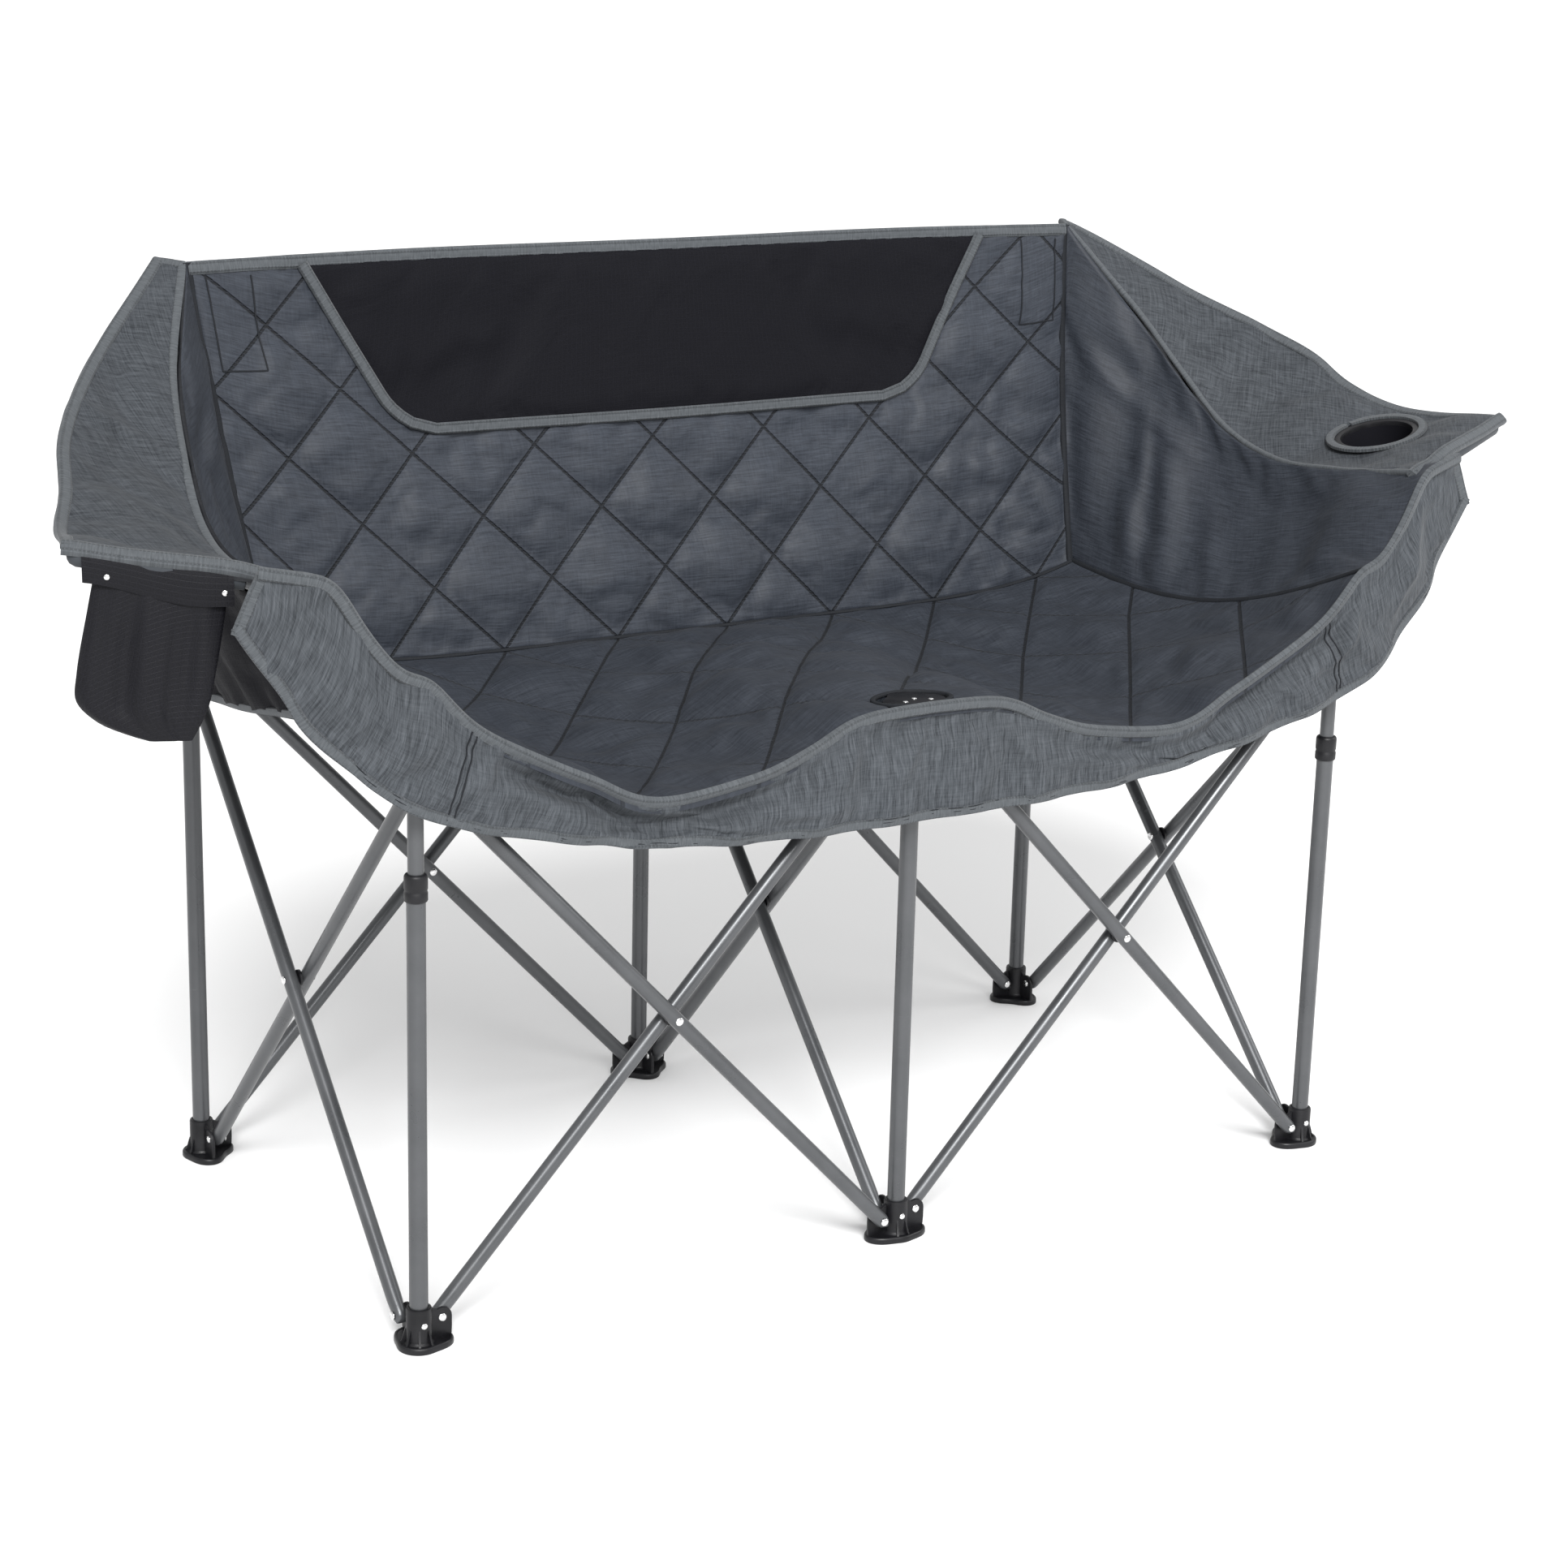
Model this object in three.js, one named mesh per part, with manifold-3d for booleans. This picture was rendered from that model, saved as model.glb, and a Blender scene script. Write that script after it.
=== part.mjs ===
// Folding camping loveseat: a scissor frame of tubes under a quilted cover for two.
// Millimetres, +Z up, +X to the right as seen from the front, and the front edge towards -Y.
// The origin is on the ground, midway between the front and rear rows of feet.
import * as THREE from "three";
import { mergeVertices } from "three/addons/utils/BufferGeometryUtils.js";
import Module from "manifold-3d";

const wasm = await Module();
wasm.setup();

// Driving dimensions of the frame grid
const columnSpacing = 570;
const rowSpacing = 570;
const footPivotHeight = 27;
const hubPivotHeight = 575;
const pivotInset = 25;

// Clearances
const runningGap = 0.3;
const seamGap = 0.3;
const cutOverrun = 20;

// Tubes
const postRadius = 9.5;
const postWall = 1.2;
const barRadius = 8;
const barWall = 1.2;
const slideRadius = postRadius - postWall - runningGap;
const slideWall = 1.2;
const tubeSides = 10;
const barSides = 8;
const barFlat = barRadius * Math.cos(Math.PI / barSides);
const frontPostTop = 492;
const middlePostDrop = 38;
const middlePostTop = hubPivotHeight - middlePostDrop;
const rearPostTop = 1003;
const slideFoot = 250;
const middleSlideFoot = 300;

// Feet and hubs
const soleCore = 22;
const soleLobe = 15;
const soleThickness = 7;
const soleBevel = 1.5;
const soleSides = 20;
const lobeSharpness = 4;
const socketWall = 3.4;
const socketHeight = 44;
const socketFloor = 8;
const earThickness = 3.4;
const earRadius = 11;
const earSegments = 4;
const rivetRadius = 2.25;
const rivetSides = 6;
const rivetHole = (rivetRadius + runningGap) / Math.cos(Math.PI / rivetSides);
const rivetHeadRadius = 4.6;
const rivetHeadHeight = 2;
const rivetCrownShare = 0.6;
const spacerRadius = 9;
const spacerInset = 0.3;
const barOffset = earThickness / 2 + runningGap + barFlat;
const noseRadius = 9;

// Collars on the front posts
const collarHeight = 28;
const collarDrop = 25;
const collarWall = 1.9;
const collarLip = 3;
const collarBevel = 1.2;

// Arm tubes: where the bent end runs, from the corner post to the arm's outer tip
const armBendStart = 625;
const armLeanOut = 45;
const armLeanHeight = 702;
const armElbowOut = 104;
const armElbowHeight = 764;
const armElbowForward = 3;

// Seat
const seatOverhang = 35;
const seatFrontSpread = 2;
const seatRearInset = 41;
const creaseInset = 112;
const creaseRise = 5;
const creaseCornerRise = 36;
const creaseCornerForward = 18;
const seatRise = 2;
const frontDip = 62;
const baySag = 22;
const seatSideSag = 42;
const seatThickness = 14;
const seatCrown = 9;
const seatEndEase = 3;
const quiltFullness = 0.7;
const seatColumns = 22;
const seatSplit = 0;
const seatFrontRows = 5;
const seatRearRows = 3;
const hubNotchRadius = 42;
const seatFront = -rowSpacing / 2 - seatOverhang;
const seatFrontHalf = columnSpacing + seatFrontSpread;
const seatRearHalf = columnSpacing - seatRearInset;
const seatHeight = hubPivotHeight + footPivotHeight + seatRise;
const creaseY = rowSpacing / 2 - creaseInset;
const creaseHeight = hubPivotHeight + creaseRise;

// Heights of the seat's front edge above the hubs, in dips, against shares of the half width
const frontEdgeShares = [
  [0, 0],
  [0.13, -0.05],
  [0.26, -0.5],
  [0.37, -0.82],
  [0.55, -1],
  [0.7, -0.46],
  [0.79, -0.06],
  [0.91, 0.56],
  [1, 1.42],
];

// Back
const backTopAbovePost = 15;
const backCornerAbovePost = 12;
const backTopSpread = 2;
const backTopInset = 29;
const backBow = 10;
const backBayBow = 14;
const backThickness = 13;
const backCrown = 9;
const diamondWidth = 156;
const cellsPerDiamond = 3;
const creaseShift = 1.5;
const backColumns = seatColumns;
const backRows = 9;
const sleeveWall = 2.2;
const sleeveHeight = 110;
const sleeveAbovePost = 8;
const sleeveReach = 23;
const sleeveSides = 5;
const backEndEase = 8;
const backSideEase = 6;
const bowEase = 3;
const backTopHeight = rearPostTop + backTopAbovePost;
const backSeamTop = rearPostTop + backCornerAbovePost;
const backTopHalf = columnSpacing + backTopSpread;
const backTopY = rowSpacing / 2 - backTopInset;
const sleeveTop = rearPostTop + sleeveAbovePost;
const sleeveFoot = sleeveTop - sleeveHeight;

// Black head panel let into the back
const headTopHalf = 442;
const headBottomHalf = 335;
const headDrop = 9;
const headHeight = 185;
const headTop = backTopHeight - headDrop;
const headBottom = headTop - headHeight;
const headCorner = 40;
const headThickness = 2.5;
const headCornerSides = 4;
const headMarginCells = 1.6;

// Arms
const armFrontInnerOut = 97;
const armFrontInnerForward = 7;
const armFrontInnerHeight = 792;
const armFrontOuterOut = 310;
const armFrontOuterBack = 79;
const armFrontRise = 36;
const armFrontOuterHeight = armFrontInnerHeight + armFrontRise;
const armRearInnerOut = 12;
const armRearInnerForward = 40;
const armRearInnerHeight = 1000;
const armRearOuterOut = 22;
const armRearOuterForward = 7;
const armRearOuterHeight = 1027;
const armThickness = 13;
const armCrown = 4;
const armRows = 12;
const armColumns = 4;
const armBends = 8;
const hemStart = 0.28;
const hemEnd = 0.93;
const hemStop = 0.97;
const hemWall = 2.6;
const hemSides = 8;

// The arm's inner and outer edges, front to rear, as shares of the way in X, Y and Z
const armInnerShares = [
  [0, 0, 0],
  [-0.01, 0.25, -0.09],
  [0.04, 0.44, -0.11],
  [0.13, 0.59, 0],
  [0.28, 0.72, 0.25],
  [0.52, 0.86, 0.6],
  [1, 1, 1],
];
const armOuterShares = [
  [0, 0, 0],
  [0.14, 0.26, -0.03],
  [0.24, 0.4, 0.08],
  [0.3, 0.5, 0.23],
  [0.42, 0.63, 0.38],
  [0.64, 0.81, 0.6],
  [1, 1, 1],
];

// Side panels
const sideThickness = 7;
const sideColumns = armRows;
const sideRows = 4;
const sideBulge = 12;
const sideFold = 5;
const sideFoldCount = 4;

// Valance hanging from the front edge
const valanceThickness = 3;
const valanceTopOut = 158;
const valanceTopForward = 9;
const valanceTopHeight = 806;
const valanceFootOut = 175;
const valanceFootForward = 5;
const valanceCornerHeight = 748;
const valanceFootHeight = 482;
const valanceTurnShare = 0.78;
const valanceColumns = 32;
const valanceRows = 3;
const valanceFold = 3;
const valanceFoldCount = 8;

// Heights of the valance's lower edge between its middle and its outer end, against shares of the way out
const valanceFootShares = [
  [0, 0],
  [0.19, 0.005],
  [0.38, 0.04],
  [0.54, 0.11],
  [0.68, 0.2],
  [0.78, 0.3],
  [0.875, 0.5],
  [0.93, 0.68],
  [0.97, 0.84],
  [1, 1],
];

// Heights of its upper edge from the seat's corner to its outer end
const valanceTopShares = [
  [0, 0],
  [0.18, 0.09],
  [0.43, 0.5],
  [0.6, 0.88],
  [0.75, 0.94],
  [1, 1],
];

// Black outer side panels
const outerSideRearOut = 33;
const outerSideRearForward = 27;
const outerSideRearHeight = 562;
const outerSideFrontOut = 70;
const outerSideFrontBack = 59;
const outerSideFrontHeight = 640;
const outerSideThickness = 2.5;
const outerSideColumns = armRows - 2;
const outerSideRows = 3;
const outerSideDrop = 2;
const outerSideTopShare = 0.16;
const outerSideFrontShare = 1 / armRows;
const outerSideRearShare = 1 - outerSideFrontShare;

// Cup holder in the right arm
const cupShareS = 0.157;
const cupOut = 189;
const cupBack = 162;
const cupBore = 42;
const cupWall = 1.6;
const cupRimWidth = 9;
const cupRimHeight = 8;
const cupDepth = 112;
const cupTaper = 3;
const cupSides = 18;

// Pocket under the left arm
const pocketOut = 176;
const pocketWidth = 128;
const pocketDrop = 152;
const pocketFoot = armFrontInnerHeight - pocketDrop;
const pocketDepth = 22;
const pocketForward = 6;
const pocketWall = 2.2;
const pocketBevel = 3.5;
const pocketMouthShare = 0.66;
const pocketMouthWidth = 84;
const pocketMouthHeight = 28;

// The pocket's outline: shares of the way outward and of the height
const pocketShares = [
  [-0.1, 1],
  [-0.1, 0.88],
  [-0.02, 0.84],
  [0.04, 0.5],
  [0.11, 0.2],
  [0.2, 0.03],
  [0.32, 0],
  [0.6, 0.04],
  [0.8, 0.12],
  [0.97, 0.24],
  [0.96, 0.4],
  [0.88, 0.75],
  [0.82, 1],
];

// Colours, roughness and metalness
const finishes = {
  paint: { color: 0x6f7073, roughness: 0.38, metalness: 0.75 },
  plastic: { color: 0x17181a, roughness: 0.5, metalness: 0 },
  rivet: { color: 0xc9cbcd, roughness: 0.25, metalness: 1 },
  quilt: { color: 0x42464d, roughness: 0.82, metalness: 0 },
  heather: { color: 0x5b6065, roughness: 0.9, metalness: 0 },
  black: { color: 0x17171a, roughness: 0.85, metalness: 0 },
};

// Vectors and unit directions
const vector = (x, y, z) => new THREE.Vector3(x, y, z);
const rightward = vector(1, 0, 0);
const rearward = vector(0, 1, 0);
const upward = vector(0, 0, 1);
const postReach = columnSpacing;
const halfRow = rowSpacing / 2;
const lerp = THREE.MathUtils.lerp;

// A place beside the right posts: how far out from their column, how far behind their front row, how high
const besidePosts = (out, back, height) => vector(columnSpacing + out, back - rowSpacing / 2, height);
const armFrontInner = besidePosts(armFrontInnerOut, -armFrontInnerForward, armFrontInnerHeight);
const armFrontOuter = besidePosts(armFrontOuterOut, armFrontOuterBack, armFrontOuterHeight);
const armRearInner = besidePosts(armRearInnerOut, rowSpacing - armRearInnerForward, armRearInnerHeight);
const armRearOuter = besidePosts(armRearOuterOut, rowSpacing - armRearOuterForward, armRearOuterHeight);
const valanceOuterTop = besidePosts(valanceTopOut, -valanceTopForward, valanceTopHeight);
const valanceOuterFoot = besidePosts(valanceFootOut, -valanceFootForward, valanceCornerHeight);
const outerSideRear = besidePosts(outerSideRearOut, rowSpacing - outerSideRearForward, outerSideRearHeight);
const outerSideFront = besidePosts(outerSideFrontOut, outerSideFrontBack, outerSideFrontHeight);
const pocketInner = columnSpacing + pocketOut;
const pocketOuter = pocketInner + pocketWidth;

const loveseat = new THREE.Group();
loveseat.name = "folding_loveseat";

function addMesh(name, geometry, finish) {
  const mesh = new THREE.Mesh(geometry, new THREE.MeshStandardMaterial(finishes[finish]));
  mesh.name = name;
  loveseat.add(mesh);
  return mesh;
}

// Solids for joining and cutting
function solidFrom(geometry) {
  const bare = geometry.index ? geometry.toNonIndexed() : geometry.clone();
  bare.deleteAttribute("normal");
  bare.deleteAttribute("uv");
  const merged = mergeVertices(bare, 1e-4);
  const vertProperties = new Float32Array(merged.attributes.position.array);
  const triVerts = new Uint32Array(merged.index.array);
  return new wasm.Manifold(new wasm.Mesh({ numProp: 3, vertProperties, triVerts }));
}

function geometryFrom(solid) {
  const { vertProperties, triVerts } = solid.getMesh();
  const geometry = new THREE.BufferGeometry();
  geometry.setAttribute("position", new THREE.BufferAttribute(new Float32Array(vertProperties), 3));
  geometry.setIndex(new THREE.BufferAttribute(new Uint32Array(triVerts), 1));
  const faceted = geometry.toNonIndexed();
  faceted.computeVertexNormals();
  return faceted;
}

const join = (geometries) =>
  geometries.map(solidFrom).reduce((whole, piece) => whole.add(piece));

function mirrored(geometry) {
  const flipped = geometry.index ? geometry.toNonIndexed() : geometry.clone();
  flipped.scale(-1, 1, 1);
  const place = flipped.attributes.position;
  for (let i = 0; i < place.count; i += 3) {
    const second = vector(0, 0, 0).fromBufferAttribute(place, i + 1);
    const third = vector(0, 0, 0).fromBufferAttribute(place, i + 2);
    place.setXYZ(i + 1, third.x, third.y, third.z);
    place.setXYZ(i + 2, second.x, second.y, second.z);
  }
  flipped.computeVertexNormals();
  return flipped;
}

// A cylinder with its axis through two points
function rod(from, to, radius, sides) {
  const along = to.clone().sub(from);
  const geometry = new THREE.CylinderGeometry(radius, radius, along.length(), sides);
  const turn = new THREE.Quaternion().setFromUnitVectors(rearward, along.clone().normalize());
  geometry.applyQuaternion(turn);
  const middle = from.clone().add(to).multiplyScalar(1 / 2);
  return geometry.translate(middle.x, middle.y, middle.z);
}

// A body of revolution: points are [radius, distance along the axis] from a base point
function turned(base, axis, points, sides) {
  const profile = points.map(([radius, along]) => new THREE.Vector2(radius, along));
  const geometry = new THREE.LatheGeometry(profile, sides);
  geometry.applyQuaternion(new THREE.Quaternion().setFromUnitVectors(rearward, axis));
  return geometry.translate(base.x, base.y, base.z);
}

// Rings of points joined into a closed tube; inner rings, where given, leave it hollow
function skinned(outer, inner) {
  const sides = outer[0].length;
  const rings = inner ? [...outer, ...inner.slice().reverse(), outer[0]] : outer;
  const corners = [];
  const quad = (a, b, c, d) => corners.push(a, b, c, a, c, d);
  for (let i = 0; i + 1 < rings.length; i += 1)
    for (let j = 0; j < sides; j += 1) {
      const next = (j + 1) % sides;
      quad(rings[i][j], rings[i][next], rings[i + 1][next], rings[i + 1][j]);
    }
  if (!inner)
    for (let j = 1; j + 1 < sides; j += 1) {
      const last = rings[rings.length - 1];
      corners.push(last[0], last[j], last[j + 1]);
      corners.push(rings[0][0], rings[0][j + 1], rings[0][j]);
    }
  const geometry = new THREE.BufferGeometry().setFromPoints(corners);
  geometry.computeVertexNormals();
  return geometry;
}

// A ring of points square to a direction, starting a phase of a step from the side.
// stretch(lateral) moves each point along the direction.
function ring(centre, along, side, radius, sides, phase = 0, stretch = () => 0) {
  const across = side.clone().addScaledVector(along, -side.dot(along)).normalize();
  const over = along.clone().cross(across);
  return Array.from({ length: sides }, (_, j) => {
    const angle = (2 * Math.PI * (j + phase)) / sides;
    const lateral = radius * Math.sin(angle);
    return centre
      .clone()
      .addScaledVector(across, radius * Math.cos(angle))
      .addScaledVector(over, lateral)
      .addScaledVector(along, stretch(lateral));
  });
}

// Rings along a list of points
function ringsAlong(points, side, radius, sides) {
  return points.map((point, i) => {
    const before = points[Math.max(i - 1, 0)];
    const after = points[Math.min(i + 1, points.length - 1)];
    return ring(point, after.clone().sub(before).normalize(), side, radius, sides);
  });
}

// A closed slab over a grid: front(u, v) is its face and back(u, v) the point behind it.
// diagonal(i, j) says which way a cell of the grid is cut in two.
function slab(columns, rows, front, back, diagonal = () => false) {
  const corners = [];
  const face = front;
  const at = (side, i, j) => side(i / columns, j / rows);
  const cell = (side, i, j, flip) => {
    const [a, b] = [at(side, i, j), at(side, i + 1, j)];
    const [c, d] = [at(side, i + 1, j + 1), at(side, i, j + 1)];
    const tris = diagonal(i, j) ? [a, b, d, b, c, d] : [a, b, c, a, c, d];
    for (let k = 0; k < tris.length; k += 3)
      corners.push(tris[k], tris[k + (flip ? 2 : 1)], tris[k + (flip ? 1 : 2)]);
  };
  const rim = (i, j, nextI, nextJ) => {
    const [a, b] = [at(face, i, j), at(face, nextI, nextJ)];
    const [c, d] = [at(back, nextI, nextJ), at(back, i, j)];
    corners.push(a, c, b, a, d, c);
  };
  for (let i = 0; i < columns; i += 1)
    for (let j = 0; j < rows; j += 1) {
      cell(face, i, j, false);
      cell(back, i, j, true);
    }
  for (let i = 0; i < columns; i += 1) {
    rim(i, 0, i + 1, 0);
    rim(i + 1, rows, i, rows);
  }
  for (let j = 0; j < rows; j += 1) {
    rim(columns, j, columns, j + 1);
    rim(0, j + 1, 0, j);
  }
  const geometry = new THREE.BufferGeometry().setFromPoints(corners);
  geometry.computeVertexNormals();
  return geometry;
}

// A value read off a table of [share, value] by a smooth curve through its points
const samplesPerSpan = 12;
function reading(table) {
  const curve = new THREE.CatmullRomCurve3(
    table.map(([share, value]) => vector(share, value, 0)),
    false,
    "centripetal",
  );
  const samples = curve.getPoints(table.length * samplesPerSpan);
  return (share) => {
    const i = samples.findIndex((p) => p.x >= share);
    if (i < 0) return samples[samples.length - 1].y;
    if (i === 0) return samples[0].y;
    const [a, b] = [samples[i - 1], samples[i]];
    return lerp(a.y, b.y, (share - a.x) / (b.x - a.x));
  };
}

// Feet and hubs

// A moulded foot with its sole at z = 0. arms lists, for each crossed pair that meets it, the direction
// towards the pair, the direction across it and the side, 1 or -1, that its bar lies on.
function foot(arms, bore, floor, top) {
  const outline = (inset, height) =>
    Array.from({ length: soleSides }, (_, i) => {
      const angle = (2 * Math.PI * i) / soleSides;
      const here = vector(Math.cos(angle), Math.sin(angle), 0);
      const lobes = arms.map(({ towards }) => Math.max(0, here.dot(towards)) ** lobeSharpness);
      const reach = soleCore - inset + soleLobe * Math.min(1, lobes.reduce((a, b) => a + b, 0));
      return here.multiplyScalar(reach).setZ(height);
    });
  const sole = skinned([
    outline(soleBevel / 2, 0),
    outline(0, soleBevel),
    outline(0, soleThickness - soleBevel),
    outline(soleBevel, soleThickness),
  ]);
  const pieces = [sole];
  const socket = bore + socketWall;
  pieces.push(
    turned(vector(0, 0, 0), upward, [
      [0, soleThickness / 2],
      [socket + soleBevel, soleThickness / 2],
      [socket, soleThickness + socketWall],
      [socket, socketHeight - soleBevel],
      [socket - soleBevel, socketHeight],
      [0, socketHeight],
    ], tubeSides),
  );
  arms.forEach(({ towards, across, side }) => {
    const ear = new THREE.Shape();
    ear.moveTo(0, soleThickness / 2);
    ear.lineTo(pivotInset + earRadius - soleBevel, soleThickness / 2);
    ear.lineTo(pivotInset + earRadius, footPivotHeight);
    ear.absarc(pivotInset, footPivotHeight, earRadius, 0, (2 * Math.PI) / 3, false);
    ear.lineTo(0, socketHeight - soleBevel);
    const web = new THREE.ExtrudeGeometry(ear, {
      depth: earThickness,
      bevelEnabled: false,
      curveSegments: earSegments,
    });
    web.translate(0, 0, -earThickness / 2);
    const normal = towards.clone().cross(upward);
    web.applyMatrix4(new THREE.Matrix4().makeBasis(towards, upward, normal));
    pieces.push(web);
    const pivot = towards.clone().multiplyScalar(pivotInset).setZ(footPivotHeight);
    const out = across.clone().multiplyScalar(side);
    const reach = barOffset + barFlat + runningGap;
    pieces.push(
      turned(pivot, out, [
        [0, -earThickness / 2 - rivetHeadHeight],
        [rivetHeadRadius * rivetCrownShare, -earThickness / 2 - rivetHeadHeight],
        [rivetHeadRadius, -earThickness / 2],
        [rivetRadius, -earThickness / 2],
        [rivetRadius, reach],
        [rivetHeadRadius, reach],
        [rivetHeadRadius * rivetCrownShare, reach + rivetHeadHeight],
        [0, reach + rivetHeadHeight],
      ], rivetSides),
    );
  });
  const hole = rod(vector(0, 0, floor), vector(0, 0, top), bore, tubeSides);
  return join(pieces).subtract(solidFrom(hole));
}

// The same moulding turned over, with its plate on top
function hub(arms, bore, floor, top) {
  const turnedOver = arms.map(({ towards, across, side }) => ({
    towards: vector(-towards.x, towards.y, 0),
    across: vector(-across.x, across.y, 0),
    side,
  }));
  const geometry = geometryFrom(foot(turnedOver, bore, floor, top));
  geometry.rotateY(Math.PI);
  return geometry.translate(0, 0, hubPivotHeight + footPivotHeight);
}

// The grid of posts: each is named by its row and column
const rows = [
  { name: "front", y: -halfRow, toRow: 1 },
  { name: "rear", y: halfRow, toRow: -1 },
];
const columns = [
  { name: "left", x: -postReach, toColumns: [1] },
  { name: "middle", x: 0, toColumns: [-1, 1] },
  { name: "right", x: postReach, toColumns: [-1] },
];

// In each pair the bar that rises towards +X lies behind and the other in front;
// between the rows the bar that rises rearward lies towards -X.
function armsAt(row, column, atHub) {
  const across = column.toColumns.map((sign) => {
    const rising = sign > 0 ? !atHub : atHub;
    return { towards: vector(sign, 0, 0), across: rearward, side: rising ? 1 : -1 };
  });
  const rising = row.toRow > 0 ? !atHub : atHub;
  return [...across, { towards: vector(0, row.toRow, 0), across: rightward, side: rising ? -1 : 1 }];
}

// Posts, hubs and feet
function collar(x, y, postTop) {
  const outer = postRadius + runningGap + collarWall;
  const foot = postTop - collarDrop;
  const head = foot + collarHeight;
  return turned(vector(x, y, 0), upward, [
    [postRadius + runningGap, foot],
    [outer - collarBevel, foot],
    [outer, foot + collarBevel],
    [outer, head - collarLip],
    [outer - collarBevel, head],
    [slideRadius + runningGap, head],
    [slideRadius + runningGap, postTop + runningGap],
    [postRadius + runningGap, postTop + runningGap],
    [postRadius + runningGap, foot],
  ], tubeSides);
}

function openPost(x, y, foot, top, radius, wall) {
  return turned(vector(x, y, 0), upward, [
    [radius - wall, foot],
    [radius, foot],
    [radius, top],
    [radius - wall, top],
    [radius - wall, foot],
  ], tubeSides);
}

function closedPost(x, y, foot, top) {
  return turned(vector(x, y, 0), upward, [
    [postRadius - postWall, foot],
    [postRadius, foot],
    [postRadius, top - postWall * 2],
    [postRadius - postWall * 2, top],
    [0, top],
    [0, top - postWall * 2],
    [postRadius - postWall, top - postWall * 2],
    [postRadius - postWall, foot],
  ], tubeSides);
}

rows.forEach((row) => {
  columns.forEach((column) => {
    const place = `${row.name}_${column.name}`;
    const { x } = column;
    const { y } = row;
    const isMiddle = column.name === "middle";
    const postBore = postRadius + runningGap;
    const footSolid = foot(armsAt(row, column, false), postBore, socketFloor, socketHeight + cutOverrun);
    addMesh(`foot_${place}`, geometryFrom(footSolid).translate(x, y, 0), "plastic");
    const postFoot = socketFloor + runningGap;
    if (row.name === "rear") {
      addMesh(`post_${place}`, closedPost(x, y, postFoot, rearPostTop), "paint");
      const slidingBore = postBore + runningGap;
      const sliding = hub(armsAt(row, column, true), slidingBore, -cutOverrun, socketHeight + cutOverrun);
      addMesh(`hub_${place}`, sliding.translate(x, y, 0), "plastic");
      return;
    }
    const postTop = isMiddle ? middlePostTop : frontPostTop;
    addMesh(`post_${place}`, openPost(x, y, postFoot, postTop, postRadius, postWall), "paint");
    addMesh(`collar_${place}`, collar(x, y, postTop), "plastic");
    const slideBore = slideRadius + runningGap;
    const floor = isMiddle ? soleThickness / 2 : -cutOverrun;
    const fixed = hub(armsAt(row, column, true), slideBore, floor, socketHeight + cutOverrun);
    addMesh(`hub_${place}`, fixed.translate(x, y, 0), "plastic");
  });
});

const hubTop = hubPivotHeight + footPivotHeight;
addMesh(
  "slide_tube_middle",
  openPost(0, -halfRow, middleSlideFoot, hubTop - soleThickness / 2 - runningGap, slideRadius, slideWall),
  "paint",
);

// Crossing bars

// A tube with rounded ends between two pivots, drilled for its rivets
function bar(from, to, across) {
  const along = to.clone().sub(from).normalize();
  const nose = (lateral) => Math.sqrt(noseRadius ** 2 - lateral ** 2);
  const back = (lateral) => -nose(lateral);
  const rings = (radius) => [
    ring(from, along, across, radius, barSides, 1 / 2, back),
    ring(to, along, across, radius, barSides, 1 / 2, nose),
  ];
  const middle = from.clone().add(to).multiplyScalar(1 / 2);
  const reach = across.clone().multiplyScalar(barRadius + cutOverrun);
  const holes = [from, middle, to].map((centre) =>
    rod(centre.clone().sub(reach), centre.clone().add(reach), rivetHole, rivetSides),
  );
  const tube = solidFrom(skinned(rings(barRadius), rings(barRadius - barWall)));
  return geometryFrom(tube.subtract(join(holes)));
}

// The rivet at a pair's crossing, with the spacer between its two bars
function crossingRivet(centre, across) {
  const reach = barOffset + barFlat + runningGap;
  const half = barOffset - barFlat - spacerInset;
  return turned(centre, across, [
    [0, -reach - rivetHeadHeight],
    [rivetHeadRadius * rivetCrownShare, -reach - rivetHeadHeight],
    [rivetHeadRadius, -reach],
    [rivetRadius, -reach],
    [rivetRadius, -half],
    [spacerRadius, -half],
    [spacerRadius, half],
    [rivetRadius, half],
    [rivetRadius, reach],
    [rivetHeadRadius, reach],
    [rivetHeadRadius * rivetCrownShare, reach + rivetHeadHeight],
    [0, reach + rivetHeadHeight],
  ], rivetSides);
}

// One crossed pair between post P and post Q. rising is the offset of the bar that rises towards Q.
function crossedPair(name, postP, postQ, across, rising) {
  const towards = postQ.clone().sub(postP).normalize();
  const pivot = (post, sign, height) => post.clone().addScaledVector(towards, sign * pivotInset).setZ(height);
  const low = (post, sign) => pivot(post, sign, footPivotHeight);
  const high = (post, sign) => pivot(post, sign, hubPivotHeight);
  const shift = across.clone().multiplyScalar(rising * barOffset);
  const upFrom = low(postP, 1).add(shift);
  const upTo = high(postQ, -1).add(shift);
  addMesh(`bar_${name}_rising`, bar(upFrom, upTo, across), "paint");
  const downFrom = low(postQ, -1).sub(shift);
  const downTo = high(postP, 1).sub(shift);
  addMesh(`bar_${name}_falling`, bar(downFrom, downTo, across), "paint");
  const centre = low(postP, 1).add(high(postQ, -1)).multiplyScalar(1 / 2);
  addMesh(`rivet_${name}`, crossingRivet(centre, across), "rivet");
}

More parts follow.
